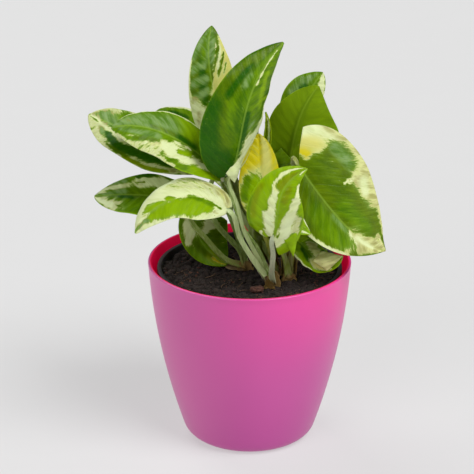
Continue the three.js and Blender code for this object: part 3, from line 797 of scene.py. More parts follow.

# Markings: the ground ink, then strokes of ink from station, column to station, column, and radius
# Grey strokes are painted highlights, where the waxy skin catches the light.
MARKS = {
    # front_tall: the lighter green over the right half, which faces the key light, and the white stroke in
    # the shaded cream near its base are painted light.
    "front_tall": ("deep", [
        ("moss", 0.3, -0.3, 0.62, -0.5, 0.2), ("mid", 0.4, -0.3, 0.6, -0.42, 0.1),
        ("moss", 0.66, -0.75, 0.95, -0.5, 0.3), ("mid", 0.72, -0.15, 0.92, -0.12, 0.1),
        ("deep", 0.08, -0.06, 0.5, -0.06, 0.07), ("deep", 0.6, -0.6, 0.78, -0.5, 0.1),
        ("deep", 0.5, -0.12, 0.68, -0.1, 0.06), ("mid", 0.34, 0.3, 0.9, 0.4, 0.55),
        ("deep", 0.15, 0.1, 0.5, 0.08, 0.1), ("lime", 0.6, 0.55, 0.8, 0.4, 0.12),
        ("grey", 0.69, -0.28, 0.73, -0.3, 0.09),
        ("grey", 0.41, 0.3, 0.43, 0.42, 0.07), ("lime", 0.64, 0.7, 0.66, 0.9, 0.06),
        ("cream", 0.08, 0.3, 0.27, 0.42, 0.26), ("white", 0.1, 0.75, 0.34, 0.9, 0.3),
        ("cream", 0.34, 0.98, 0.6, 1.02, 0.1), ("gold", 0.12, 0.62, 0.17, 0.8, 0.15),
        ("white", 0.0, -0.2, 0.05, 0.1, 0.1),
        ("cream", 0.72, 0.09, 0.94, 0.05, 0.035), ("cream", 0.62, 1.03, 0.95, 0.98, 0.06),
    ]),
    "back_tall": ("moss", [
        ("deep", 0.42, -0.4, 0.8, -0.35, 0.16), ("grey", 0.46, -0.8, 0.5, -0.25, 0.09),
        ("grey", 0.57, -0.85, 0.59, -0.2, 0.1), ("grey", 0.67, -0.85, 0.7, -0.25, 0.1),
        ("grey", 0.8, -0.9, 0.98, -0.4, 0.2), ("mid", 0.8, -0.3, 0.95, -0.2, 0.25),
        ("cream", 0.1, -0.9, 0.36, -0.82, 0.3), ("cream", 0.35, -1.02, 0.72, -1.04, 0.1),
        ("tan", 0.28, -0.8, 0.34, -0.7, 0.08), ("cream", 0.0, -0.3, 0.3, -0.35, 0.3),
        ("grey", 0.78, 0.2, 1.0, 0.2, 0.3), ("butter", 0.1, 0.4, 0.45, 0.45, 0.45),
        ("butter", 0.5, 0.15, 0.62, 0.85, 0.17), ("butter", 0.55, 0.12, 0.7, 0.3, 0.08),
        ("butter", 0.6, 0.75, 0.86, 1.0, 0.26), ("cream", 0.66, 0.35, 0.84, 0.75, 0.05),
        ("cream", 0.72, 0.3, 0.86, 0.5, 0.03), ("moss", 0.6, 0.35, 0.8, 0.85, 0.035),
        ("moss", 0.64, 0.18, 0.82, 0.5, 0.04), ("mid", 0.62, 0.6, 0.7, 0.8, 0.03),
    ]),
    "left_front": ("cream", [
        ("lime", 0.26, -0.45, 0.78, -0.42, 0.33), ("lime", 0.4, -0.58, 0.68, -0.62, 0.3),
        ("lime", 0.68, -0.1, 0.78, 0.25, 0.22), ("lime", 0.55, -0.1, 0.6, 0.08, 0.1),
        ("mid", 0.08, -0.34, 0.24, -0.14, 0.06), ("mid", 0.2, -0.3, 0.4, -0.05, 0.1),
        ("tan", 0.1, -0.7, 0.15, -0.63, 0.05), ("mottle", 0.05, 0.6, 0.45, 0.65, 0.35),
        ("gold", 0.03, 0.3, 0.12, 0.75, 0.12), ("tan", 0.04, 0.25, 0.1, 0.8, 0.14),
        ("tan", 0.14, 0.4, 0.16, 0.75, 0.07), ("tan", 0.2, 0.75, 0.3, 0.85, 0.06),
        ("grey", 0.86, -0.5, 0.88, -0.1, 0.07), ("white", 0.5, 1.0, 0.95, 0.9, 0.12),
        ("grey", 0.92, -0.3, 0.99, 0.3, 0.14),
    ]),
    "left_low": ("mid", [
        ("moss", 0.36, 0.0, 0.62, 0.1, 0.26), ("mid", 0.55, -0.6, 0.7, -0.55, 0.28),
        ("deep", 0.6, -0.15, 0.72, -0.1, 0.1), ("mottle", 0.8, -0.65, 0.96, -0.5, 0.38),
        ("white", 0.84, -0.7, 0.96, -0.6, 0.2),
        ("moss", 0.72, -0.7, 0.76, -0.66, 0.04), ("cream", 0.1, 0.7, 0.5, 0.6, 0.26),
        ("mottle", 0.5, 0.55, 0.75, 0.5, 0.14), ("cream", 0.74, 0.6, 0.9, 0.75, 0.18),
        ("cream", 0.88, 0.3, 0.95, 0.6, 0.1), ("deep", 0.38, 0.95, 0.5, 0.9, 0.12),
        ("moss", 0.45, 0.62, 0.52, 0.58, 0.04), ("grey", 0.7, 0.2, 0.95, 0.1, 0.18),
        ("grey", 0.66, 0.8, 0.8, 0.9, 0.12), ("cream", 0.0, -0.4, 0.3, -0.5, 0.35),
    ]),
    "left_outer": ("mottle", [
        ("cream", 0.75, -0.3, 0.95, 0.0, 0.15), ("cream", 0.3, -0.2, 0.7, -0.3, 0.12),
        ("mid", 0.15, -0.75, 0.3, -0.6, 0.12), ("deep", 0.28, -0.48, 0.68, -0.68, 0.16),
        ("deep", 0.68, -0.72, 0.78, -0.45, 0.13), ("olive", 0.28, -0.9, 0.6, -0.93, 0.07),
        ("tan", 0.1, -0.85, 0.25, -0.8, 0.1), ("moss", 0.6, -0.88, 0.74, -0.86, 0.06),
        ("grey", 0.8, 0.1, 0.88, 0.5, 0.26), ("grey", 0.82, -0.6, 0.84, -0.4, 0.08),
        ("mid", 0.2, 0.4, 0.7, 0.5, 0.3), ("mid", 0.9, -0.2, 0.97, -0.1, 0.05),
    ]),
    "left_arched": ("mid", [
        ("lime", 0.3, 0.6, 0.44, 0.6, 0.33), ("grey", 0.56, 0.45, 0.95, 0.4, 0.32),
        ("deep", 0.33, 0.1, 0.46, 0.12, 0.1), ("moss", 0.5, 0.12, 0.66, 0.14, 0.08),
        ("cream", 0.22, -0.45, 0.5, -0.55, 0.2), ("cream", 0.45, -0.42, 0.8, -0.75, 0.2),
        ("mottle", 0.6, -0.78, 0.95, -0.97, 0.18), ("mottle", 0.45, -1.0, 0.9, -1.04, 0.1),
        ("lime", 0.34, -0.32, 0.42, -0.42, 0.09), ("cream", 0.36, -0.08, 0.48, -0.14, 0.04),
        ("tan", 0.6, -0.5, 0.66, -0.6, 0.08), ("mid", 0.7, -0.48, 0.86, -0.76, 0.09),
        ("moss", 0.6, -0.38, 0.8, -0.6, 0.05), ("lime", 0.0, -0.85, 0.24, -0.8, 0.22),
        ("grey", 0.62, -0.2, 0.9, -0.35, 0.1), ("white", 0.1, 1.02, 0.98, 1.02, 0.06),
    ]),
    "left_rear": ("mid", [
        ("deep", 0.45, 0.3, 0.7, 0.3, 0.15), ("cream", 0.3, 0.12, 0.6, 0.12, 0.06),
        ("cream", 0.2, 0.95, 0.95, 0.95, 0.1), ("cream", 0.2, -1.0, 0.95, -1.0, 0.1),
    ]),
    "small_centre": ("lime", [
        ("white", 0.0, -0.3, 0.33, -0.28, 0.19), ("cream", 0.33, -0.24, 0.6, -0.25, 0.12),
        ("cream", 0.6, -0.28, 0.8, -0.55, 0.13), ("cream", 0.78, -0.58, 0.95, -0.6, 0.08),
        ("white", 0.0, 0.3, 0.14, 0.36, 0.2), ("white", 0.12, 0.38, 0.33, 0.5, 0.18),
        ("cream", 0.33, 0.52, 0.55, 0.72, 0.16), ("cream", 0.55, 0.78, 0.82, 0.92, 0.14),
        ("cream", 0.2, 0.2, 0.3, 0.3, 0.05), ("mid", 0.06, 0.2, 0.1, 0.22, 0.05),
        ("olive", 0.68, -0.2, 0.86, -0.15, 0.2), ("olive", 0.5, 0.2, 0.7, 0.3, 0.14),
        ("olive", 0.3, -0.8, 0.6, -0.85, 0.1), ("mottle", 0.2, 0.75, 0.32, 0.8, 0.14),
        ("mid", 0.1, -0.95, 0.5, -1.0, 0.08), ("cream", 0.02, -0.95, 0.08, -0.7, 0.06),
        ("cream", 0.93, 0.3, 1.0, 0.0, 0.1),
    ]),
    "yellow": ("gold", [
        ("lime", 0.0, -0.3, 0.36, -0.2, 0.6), ("mid", 0.25, -0.8, 0.45, -0.6, 0.15),
        ("butter", 0.5, 0.3, 0.9, 0.6, 0.3), ("cream", 0.0, 0.85, 0.3, 0.8, 0.3),
    ]),
    "right_big": ("fern", [
        ("moss", 0.1, -0.35, 0.5, -0.3, 0.2), ("moss", 0.12, 0.15, 0.4, 0.3, 0.2),
        ("mid", 0.5, -0.2, 0.75, -0.35, 0.15), ("gold", 0.0, -0.35, 0.05, -0.35, 0.14),
        ("butter", 0.0, -0.6, 0.07, -0.6, 0.2), ("cream", 0.0, -0.95, 0.13, -0.98, 0.22),
        ("grey", 0.18, -0.74, 0.34, -0.78, 0.1), ("beige", 0.1, -1.04, 0.42, -1.04, 0.14),
        ("tan", 0.4, -0.72, 0.46, -0.75, 0.1), ("beige", 0.4, -0.98, 0.62, -0.98, 0.26),
        ("cream", 0.47, -0.8, 0.55, -0.75, 0.1), ("beige", 0.6, -1.0, 0.88, -1.02, 0.14),
        ("cream", 0.39, -0.5, 0.41, -0.6, 0.05), ("beige", 0.77, 0.35, 1.0, 0.3, 0.44),
        ("beige", 0.79, -0.06, 0.95, -0.3, 0.13),
        ("cream", 0.74, 0.05, 0.86, 0.1, 0.12), ("beige", 0.88, -0.5, 0.97, -0.5, 0.12),
        ("tan", 0.88, -0.25, 1.0, -0.2, 0.12), ("grey", 0.5, 0.08, 0.68, 0.14, 0.06),
        ("cream", 0.66, 0.1, 0.74, 0.3, 0.06), ("mid", 0.42, 0.4, 0.66, 0.5, 0.3),
        ("cream", 0.4, 1.0, 0.72, 0.98, 0.09),
    ]),
    "right_back": ("mid", [("deep", 0.3, 0.0, 0.95, 0.0, 0.1), ("cream", 0.1, -0.9, 0.4, -0.8, 0.2)]),
    "right_rear": ("mid", [
        ("grey", 0.6, -0.6, 0.85, -0.5, 0.2), ("deep", 0.3, -0.2, 0.7, -0.3, 0.2),
        ("cream", 0.75, 0.7, 0.95, 0.5, 0.3), ("cream", 0.3, 1.0, 0.7, 1.0, 0.25),
    ]),
    "pot_left": ("mid", [
        ("cream", 0.3, -0.45, 0.42, -0.35, 0.28), ("cream", 0.28, 0.45, 0.44, 0.5, 0.33),
        ("olive", 0.78, 0.2, 0.95, 0.3, 0.35), ("moss", 0.5, -0.5, 0.7, -0.4, 0.2),
        ("gold", 0.82, 0.2, 0.95, 0.35, 0.16), ("moss", 0.5, 0.3, 0.65, 0.35, 0.2),
    ]),
    "low_right": ("lime", [
        ("mid", 0.1, -0.1, 0.5, 0.2, 0.2), ("deep", 0.3, 0.3, 0.5, 0.5, 0.12),
        ("beige", 0.34, -0.5, 0.5, -0.3, 0.3), ("beige", 0.5, -0.3, 0.75, -0.1, 0.16),
        ("butter", 0.6, 0.3, 0.78, 0.6, 0.3), ("deep", 0.55, -0.75, 0.7, -0.7, 0.12),
        ("cream", 0.3, 1.0, 0.6, 1.02, 0.07), ("cream", 0.1, -0.97, 0.3, -0.95, 0.06),
        ("butter", 0.84, 0.2, 1.0, 0.1, 0.34), ("lime", 0.8, 0.6, 0.9, 0.6, 0.1),
        ("tan", 0.5, -0.4, 0.56, -0.3, 0.1),
    ]),
    "under_tip": ("lime", [("cream", 0.3, 0.9, 0.95, 0.4, 0.2), ("cream", 0.3, -1.0, 0.9, -0.9, 0.15)]),
    "furled": ("olive", [("cream", 0.2, 0.6, 0.9, 0.7, 0.2), ("lime", 0.3, -0.4, 0.8, -0.4, 0.3)]),
    "rear_high": ("mid", [
        ("cream", 0.1, -0.8, 0.6, -0.9, 0.3), ("cream", 0.4, 0.9, 0.85, 0.7, 0.25),
        ("deep", 0.3, 0.3, 0.6, 0.3, 0.25), ("grey", 0.6, -0.3, 0.8, -0.35, 0.15),
    ]),
    "rear_right": ("mid", [
        ("cream", 0.2, 0.7, 0.6, 0.8, 0.33), ("cream", 0.7, -0.7, 0.95, -0.4, 0.3),
        ("deep", 0.25, -0.4, 0.55, -0.4, 0.3), ("lime", 0.6, 0.1, 0.8, 0.2, 0.2),
    ]),
    "rear_left": ("mid", [
        ("cream", 0.15, -0.6, 0.5, -0.85, 0.33), ("white", 0.6, 0.8, 0.95, 0.5, 0.25),
        ("deep", 0.4, 0.3, 0.6, 0.3, 0.25), ("grey", 0.6, -0.3, 0.8, -0.2, 0.15),
    ]),
    "rear_low": ("mid", [
        ("cream", 0.1, 0.5, 0.4, 0.9, 0.3), ("cream", 0.5, -0.9, 0.95, -0.6, 0.25),
        ("deep", 0.3, -0.3, 0.7, -0.3, 0.3), ("grey", 0.7, 0.3, 0.85, 0.3, 0.15),
    ]),
}


def painted(name, t, s):
    """Ink at each point: what strokes cover, laid one over the other with soft rims."""
    ground, strokes = MARKS[name]
    ink = np.tile(INKS[ground], (len(t), 1))
    for tone, t0, s0, t1, s1, radius in strokes:
        x, y = (t - t0) * STROKE_STRETCH, s - s0
        run, lift = (t1 - t0) * STROKE_STRETCH, s1 - s0
        near = np.clip((x * run + y * lift) / (run * run + lift * lift), 0, 1)
        away = np.hypot(x - near * run, y - near * lift) / radius
        cover = np.clip((STROKE_REACH - away) / STROKE_RIM, 0, 1)
        cover = (cover * cover * (3 - 2 * cover))[:, None]
        ink = ink * (1 - cover) + np.array(INKS[tone]) * cover
    # The margin is lightened: partly the leaves' own pale margin, partly a painted rim light.
    ink[:, 1] += np.clip((np.abs(s) - MARGIN_FROM) / (1 - MARGIN_FROM), 0, 1) * MARGIN_PALE_AND_RIM_LIGHT
    return ink


DARK_GREEN = rgb(16, 90, 0)
LIGHT_GREEN = rgb(148, 192, 0)
WARM_GREEN = rgb(140, 136, 0)
PAINTED_SHEEN_GREEN = rgb(142, 172, 110)
EDGE_GREEN = rgb(136, 172, 70)
VEIN_GREEN = rgb(150, 186, 60)
PORE_GREEN = rgb(130, 176, 0)
CREAM = rgb(240, 252, 196)
GOLD = rgb(222, 208, 16)
CREAM_EDGE = rgb(206, 216, 120)
CREAM_CLOUD = rgb(190, 208, 104)
CREAM_SPECK = rgb(206, 214, 150)
TAN = rgb(150, 140, 66)
DULL_GREEN = rgb(140, 172, 0)
LEAF_LIGHT = rgb(136, 166, 30)
LIGHT_PASSED = 0.2


def leaf_material(name, under):
    """The waxy skin: its inks, streaks along the side veins and grain. under gives the dull side."""
    material, place = new_material(name)
    chart = place.node("ShaderNodeUVMap", uv_map="blade")
    across = chart.part("Y")
    off = across.size()
    lean = chart.part("X") - off * VEIN_LEAN
    side = across.math("SIGN", across) * 3.0
    streaks = place.node("ShaderNodeCombineXYZ", {"X": lean, "Y": off * 0.26, "Z": side})
    patches = place.node("ShaderNodeCombineXYZ", {"X": lean, "Y": off * 0.55, "Z": side})
    fine = streaks.noise(9.0, 4, 0.6) - 0.5
    broad = patches.noise(2.6, 4, 0.55) - 0.5
    speck = streaks.noise(26.0, 3, 0.7) - 0.5
    fleck = streaks.noise(7.0, 3, 0.6).step(0.66, 0.7)
    grain = place.noise(2600, 2)
    pores = place.noise(1100, 4, 0.65).step(0.35, 0.75)
    inks = place.node("ShaderNodeAttribute", attribute_name="ink", output="Color")
    pale, light, warm = [
        inks.node("ShaderNodeSeparateColor", {0: inks}, channel) for channel in ("Red", "Green", "Blue")
    ]
    painted_sheen_and_tan = place.node("ShaderNodeAttribute", attribute_name="ink", output="Alpha")

    # Where the paint is half pale, noise along the veins decides, so its rims are ragged
    unsure = pale * (1.0 - pale) * 4.0
    wild = fine * 0.95 + broad * 2.8
    ragged = pale + wild * (unsure * 0.75 + 0.25) + speck * (unsure * 1.6 + 0.2)
    ragged = ragged + (1.0 - pale * 2.0) * fleck * 0.42
    vein = lean * (10.0 / VEIN_PITCH) + broad * 0.35
    vein = (vein.math("FRACT", vein) - 0.5).size().step(0.4, 0.5)
    rib = 1.0 - off.step(0.02, 0.07)

    lit = light + broad * 0.9 + fine * 0.5
    green = lit.step(-0.1, 1.15).mix(DARK_GREEN, LIGHT_GREEN)
    green = (warm * 0.75).mix(green, WARM_GREEN)
    # Painted sheen: where the ink carries it, the green turns a pale silvery green.
    green = (painted_sheen_and_tan * (wild.step(-0.35, 0.35) * 0.8 + 0.15)).mix(green, PAINTED_SHEEN_GREEN)
    green = (ragged.step(0.22, 0.42) * 0.55).mix(green, EDGE_GREEN)
    green = (vein * 0.06 + rib * 0.5).mix(green, VEIN_GREEN)
    green = (pores * 0.12).mix(green, PORE_GREEN)
    butter = warm.step(0.0, 1.0).mix(CREAM, GOLD)
    butter = (1.0 - ragged.step(0.5, 0.85)).mix(butter, CREAM_EDGE)
    butter = (wild.step(0.0, 0.5) * 0.3).mix(butter, CREAM_CLOUD)
    butter = ((speck * 2.0 - broad).step(0.0, 0.9) * 0.3).mix(butter, CREAM_SPECK)
    butter = (painted_sheen_and_tan * wild.step(-0.3, 0.3)).mix(butter, TAN)
    skin = ragged.step(0.47, 0.53).mix(green, butter)
    relief = fine * 0.5 + broad * 0.4 + grain * 0.12 - vein * 0.2
    if under:
        dull = place.node("ShaderNodeMix", {"Factor": 0.55, 6: skin, 7: DULL_GREEN}, 2, data_type="RGBA")
        surface = {"colour": dull, "roughness": 0.65, "depth": 0.0001, "gloss": 0.15}
    else:
        surface = {"colour": skin, "roughness": broad * 0.2 + 0.32, "depth": 0.00024, "gloss": 0.16}
    finish(place, bump=relief, through=LIGHT_PASSED, passed=LEAF_LIGHT, **surface)
    return material


upper_skin = leaf_material("leaf_upper_skin", False)
lower_skin = leaf_material("leaf_lower_skin", True)
LEAF_SLOTS = {"front_tall": "deep_green_leaf", "right_back": "leaf_underside", "yellow": "yellow_leaf"}

# How much a blade is crumpled, and how strongly its fields puff, where that isn't 1
CRUMPLES = {"low_right": 4.2, "left_outer": 1.3, "small_centre": 1.5, "pot_left": 1.4}
PUFFS = {"right_back": 0.3}

# The relief in mm: the puffed fields, the sunk midrib, the waved margin and the ridge below
PUFF = 0.5
PUFF_ROUNDING = 0.7
PUFF_FROM_RIB = 4
PUFF_TO_MARGIN = 6
GROOVE = 0.45
GROOVE_WIDTH = 0.9
FLUTTER = 0.9
FLUTTER_PITCH = 0.12
FLUTTER_LAYER = 1.5
FULL_WAVE_WIDTH = 8
CREASE = 0.22
CREASE_PITCH = 0.3
RIDGE = 0.75
RIDGE_WIDTH = 1.3
RIDGE_FADE = 0.7
EDGE_CROWDING = 0.75

# Each leaf's number times these moves its veins, waves, creases and chart, so that no two match
VEIN_SHIFT = 1.7
FLUTTER_SHIFT = 9.1
CREASE_SHIFT = 3.7
CHART_SHIFT = 7


def grid_faces(rows, columns):
    """The four-cornered faces of a grid of points."""
    for row in range(rows - 1):
        for a in range(row * columns, (row + 1) * columns - 1):
            yield a, a + 1, a + 1 + columns, a + columns


def dress(piece, ink, chart_points):
    """Gives a piece the ink of each point, and each point's place on the flat blade in cm."""
    marks = piece.data.attributes.new("ink", "FLOAT_COLOR", "POINT")
    marks.data.foreach_set("color", ink.ravel())
    chart = piece.data.uv_layers.new(name="blade")
    corner = np.empty(len(piece.data.loops), int)
    piece.data.loops.foreach_get("vertex_index", corner)
    chart.data.foreach_set("uv", chart_points[corner].ravel())


def blade_piece(index, name, leaf):
    """One blade with both faces on the same grid, closed by its margin."""
    even = np.linspace(0, 1, STATIONS)
    crowded = even - EDGE_CROWDING * np.sin(2 * math.pi * even) / (2 * math.pi)
    stations = BLADE_FIRST + (BLADE_LAST - BLADE_FIRST) * crowded
    columns = np.sin(np.linspace(-1, 1, COLUMNS) * math.pi / 2)
    columns[COLUMNS // 2] = 0
    t, s = [grid.ravel() for grid in np.meshgrid(stations, columns, indexing="ij")]
    middle, face, width = blade_points(leaf, t, s)
    grid = middle.reshape(STATIONS, COLUMNS, 3)
    normal = np.cross(np.gradient(grid, axis=1), np.gradient(grid, axis=0)).reshape(-1, 3)
    normal /= np.linalg.norm(normal, axis=1, keepdims=True)
    length = np.linalg.norm(np.diff(grid[:, COLUMNS // 2], axis=0), axis=1).sum()
    reach = np.abs(s)
    run, across = t * length, s * width
    lean = run - VEIN_LEAN * np.abs(across) + index * VEIN_SHIFT
    puffed = np.abs(np.sin(math.pi * lean / VEIN_PITCH)) ** PUFF_ROUNDING
    puffed = puffed * np.clip(reach * PUFF_FROM_RIB, 0, 1) * (1 - reach**PUFF_TO_MARGIN)
    puffed = puffed * PUFFS.get(name, 1)
    groove = np.exp(-((across / GROOVE_WIDTH) ** 2)) * (1 - t) ** 0.5
    flat = list(zip(run, across))
    own = index * FLUTTER_SHIFT
    flutter = [field.noise((a * FLUTTER_PITCH + own, b * FLUTTER_PITCH, FLUTTER_LAYER)) for a, b in flat]
    crease = [field.noise((a * CREASE_PITCH, b * CREASE_PITCH, index * CREASE_SHIFT)) for a, b in flat]
    crumple = CRUMPLES.get(name, 1)
    wave = np.array(flutter) + np.array(crease) * max(crumple - 1, 0) * CREASE
    wave = FLUTTER * crumple * wave * reach**2 * np.clip(width / FULL_WAVE_WIDTH, 0, 1)
    lift = PUFF * puffed - GROOVE * groove + wave
    top = middle + normal * (BLADE_EDGE / 2 + lift)[:, None]
    thick = BLADE_THIN + RIDGE * np.exp(-((across / RIDGE_WIDTH) ** 2)) * (1 - RIDGE_FADE * t)
    low = top - normal * thick[:, None]
    below = STATIONS * COLUMNS
    faces, skins = [], []
    for a, b, c, d in grid_faces(STATIONS, COLUMNS):
        faces += [(a, b, c, d), (a + below, d + below, c + below, b + below)]
        skins += [0, 1]
    rim = list(range(COLUMNS))
    rim += [row * COLUMNS + COLUMNS - 1 for row in range(1, STATIONS)]
    rim += [(STATIONS - 1) * COLUMNS + column for column in range(COLUMNS - 2, -1, -1)]
    rim += [row * COLUMNS for row in range(STATIONS - 2, 0, -1)]
    for here, after in zip(rim, rim[1:] + rim[:1]):
        faces.append((here, here + below, after + below, after))
        skins.append(0)
    points = np.concatenate([top, low]) * MM
    slot = LEAF_SLOTS.get(name, "variegated_leaf")
    piece = new_piece(f"blade_{name}", points, faces, [upper_skin, lower_skin], slot, skins)
    ink = painted(name, t, s)
    chart = np.stack([run / 10 + index * CHART_SHIFT, across / 10], 1)
    dress(piece, np.concatenate([ink, ink]), np.concatenate([chart, chart]))
    outward(piece)
    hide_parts(f"leaf_{name}")


for index, (name, leaf) in enumerate(LEAVES.items()):
    leaf["curve"] = curve_through(leaf["rib"])
    blade_piece(index, name, leaf)


# Stems and stalks
# Four rooted cuttings. Each is a short, knobbly brown stump, from which pale juicy
# stalks rise with a shallow channel, clasp the stump at their feet and run out as midribs.
STALK_GIRTH = 1.2
STALK_FLARE = 0.5
STALK_CLASP = 0.6
CLASP_FADE = 10
STALK_BEND = 5
BLADE_AHEAD = 0.02
STALK_GAP = 0.5
STALK_FOOT = 1.8
STEM_DEPTH = 22
STUMP_RADIUS = 3.1
STUMP_FLARE = 1.45
STUMP_NECK = 0.95
STUMP_NECK_DEPTH = 2
STUMP_KNOB = 0.09
KNOB_PITCH = 1.9
STUMP_CROWN = 1.5
STUMP_WANDER = 0.7
WANDER_PITCH = 0.13
STUMP_LEVELS = 26
STUMP_ENDS = 1.4, 1.3
STUMP_BROWN = (150, 132, 64)
STUMP_STAIN = 1.25
STUMP_STAIN_FADE = 0.06
LEAST_STAIN, MOST_STAIN = 0.6, 1.2
STALK_STAIN_HEIGHT = 10
STALK_STAIN_FADE = 1.3
SPLINE_STEPS = 14
RING_POINTS = 22
CHANNEL_FROM = 0.35
CHANNEL_DEPTH = 1.3
GRAIN_DEPTH = 0.0004

# The midrib below a blade: its greatest radius, how it tapers, its least radius, how deep it lies,
# where it is laid along the blade, and how strong it is where that isn't 1
MIDRIB_RADIUS = 0.64
MIDRIB_TAPER = 0.8
MIDRIB_LEAST = 0.12
MIDRIB_DROP = 0.3
MIDRIB_SUNK = 0.7
RIDGE_STATIONS = np.array([0.03, 0.07, 0.13, 0.2, 0.3, 0.42, 0.56, 0.72, 0.88])
RIDGE_SHARES = {"right_back": 0.35}

# Each stem: its place, stump height, and the points that each stalk passes, then colour and girth
STEMS = {
    "front": ((12, -22.5), 8, {
        "left_front": ([(4, -26, 108), (-5, -30, 125)], (208, 228, 160), 1.15),
        "left_arched": ([(5, -23, 115), (-5, -22, 131)], (112, 140, 46), 0.7),
        "front_tall": ([(3, -24, 114), (-3, -25, 127), (-7, -26, 143)], (198, 216, 146), 0.72),
        "small_centre": ([(11.5, -26, 104), (12, -33, 117)], (222, 236, 200), 1.1),
    }),
    "right": ((21, -15), 3.5, {
        "right_big": ([(23, -15, 118), (24, -14, 146)], (150, 156, 60), 1.0),
        "right_back": ([(19, -10, 111), (18, 0, 130)], (112, 146, 30), 1.1),
        "low_right": ([(20, -12, 108), (19, -12, 118)], (182, 164, 84), 1.0),
        "under_tip": ([(19, -18, 108), (13, -26, 128)], (159, 185, 72), STALK_GIRTH),
        "rear_right": ([(22, -4, 108), (20, 9, 121)], (137, 175, 57), STALK_GIRTH),
        "right_rear": ([(24, -4, 112), (27, 6, 132), (28, 18, 148)], (137, 175, 64), STALK_GIRTH),
    }),
    "middle": ((14, -7), 3.5, {
        "back_tall": ([(11, -8, 106), (-3, -5, 126), (-12, 0, 147)], (154, 181, 74), STALK_GIRTH),
        "yellow": ([(11, -10, 110)], (176, 184, 60), 1.0),
        "furled": ([(11, -5, 112), (4, -5, 135)], (168, 186, 70), 0.9),
        "rear_high": ([(12, 2, 112), (7, 10, 132)], (137, 175, 64), STALK_GIRTH),
        "rear_low": ([(13, 2, 102)], (137, 175, 64), STALK_GIRTH),
    }),
    "left": ((-2, 2), 3, {
        "left_low": ([(-12, 1, 100), (-24, -1, 114), (-32, -3, 126)], (159, 181, 84), STALK_GIRTH),
        "left_outer": ([(-5, 2, 105), (-18, 0, 122), (-22, -4, 140)], (148, 177, 79), STALK_GIRTH),
        "left_rear": ([(-6, 6, 112), (-14, 8, 140)], (148, 185, 79), STALK_GIRTH),
        "pot_left": ([(-6, 8, 110), (-14, 13, 128), (-22, 13, 134)], (127, 164, 60), STALK_GIRTH),
        "rear_left": ([(-4, 8, 108)], (137, 175, 64), STALK_GIRTH),
    }),
}


def catmull(points):
    """Centripetal Catmull-Rom curve through points, with mirrored end points."""
    points = [np.array(point, float) for point in points]
    points = [2 * points[0] - points[1], *points, 2 * points[-1] - points[-2]]
    curve = []
    for a, b, c, d in zip(points, points[1:], points[2:], points[3:]):
        before, here, after = [np.linalg.norm(q - p) ** 0.5 for p, q in ((a, b), (b, c), (c, d))]
        leave = ((b - a) / before - (c - a) / (before + here) + (c - b) / here) * here
        arrive = ((c - b) / here - (d - b) / (here + after) + (d - c) / after) * here
        u = np.arange(SPLINE_STEPS)[:, None] / SPLINE_STEPS
        bend = -3 * b + 3 * c - 2 * leave - arrive
        curve.append(b + leave * u + bend * u**2 + (2 * b - 2 * c + leave + arrive) * u**3)
    return np.concatenate([*curve, points[-2][None]])


def stalk_path(at, leaf_name, waypoints, girth):
    """Points, radii, channel directions and tangents of one stalk and its midrib."""
    leaf = LEAVES[leaf_name]
    base, direction, _ = blade_points(leaf, np.array([BLADE_FIRST]), np.array([0.0]))
    ahead, _, _ = blade_points(leaf, np.array([BLADE_FIRST + BLADE_AHEAD]), np.array([0.0]))
    along = (ahead - base)[0] / np.linalg.norm(ahead - base)
    joint = base[0] + direction[0] * (BLADE_EDGE - BLADE_RIB) / 2
    root = (at[0], at[1], SOIL_TOP + STALK_FOOT)
    stalk = catmull([root, *waypoints, joint - along * STALK_BEND, joint - along * STALK_GAP])
    share = np.linspace(0, 1, len(stalk))
    radius = girth + STALK_FLARE * (1 - share) + STALK_CLASP * np.exp(-share * CLASP_FADE)
    rib, faces, _ = blade_points(leaf, RIDGE_STATIONS, np.zeros(len(RIDGE_STATIONS)))
    taper = (1 - RIDGE_STATIONS) ** MIDRIB_TAPER
    rib_radius = MIDRIB_RADIUS * girth / STALK_GIRTH * taper + MIDRIB_LEAST
    rib_radius = rib_radius * RIDGE_SHARES.get(leaf_name, 1)
    rib = rib - faces * (MIDRIB_DROP + rib_radius * MIDRIB_SUNK)[:, None]
    path = np.concatenate([stalk, rib])
    channel = np.tile(direction[0], (len(path), 1))
    channel[len(stalk):] = faces
    tangent = np.gradient(path, axis=0)
    tangent /= np.linalg.norm(tangent, axis=1, keepdims=True)
    channel -= tangent * np.sum(channel * tangent, 1, keepdims=True)
    channel /= np.linalg.norm(channel, axis=1, keepdims=True)
    return path, np.concatenate([radius, rib_radius]), channel, tangent


def stump_path(at, height):
    """The stump: a knobbly column that narrows where it leaves the soil, then the crown."""
    top = SOIL_TOP + height + STUMP_CROWN
    z = np.linspace(SOIL_TOP - STEM_DEPTH, top, STUMP_LEVELS)
    wander = np.array([[field.noise((h * WANDER_PITCH, at[0], layer)) for layer in (1, 5)] for h in z])
    path = np.stack([*(np.array(at)[:, None] + wander.T * STUMP_WANDER), z], 1)
    knob = 1 + STUMP_KNOB * np.sin(z * KNOB_PITCH + at[0])
    neck = np.interp(z, [SOIL_TOP, top], [STUMP_FLARE, STUMP_NECK])
    radius = STUMP_RADIUS * knob * np.where(z < SOIL_TOP - STUMP_NECK_DEPTH, 1, neck)
    radius[0], radius[-1] = STUMP_ENDS
    channel = np.tile([0.0, -1.0, 0.0], (len(path), 1))
    return path, radius, channel


stalk_inputs = {
    "Paths": "NodeSocketGeometry", "Channel": "NodeSocketFloat", "Grain": "NodeSocketFloat",
    "Skin": "NodeSocketMaterial",
}
stalk_tree, (paths, channel_depth, grain_depth, skin) = new_tree("stalks", stalk_inputs, "Stalks")


def carried(name, data_type):
    """A value that the paths carry at each point."""
    return paths.node("GeometryNodeInputNamedAttribute", {"Name": name}, data_type=data_type)


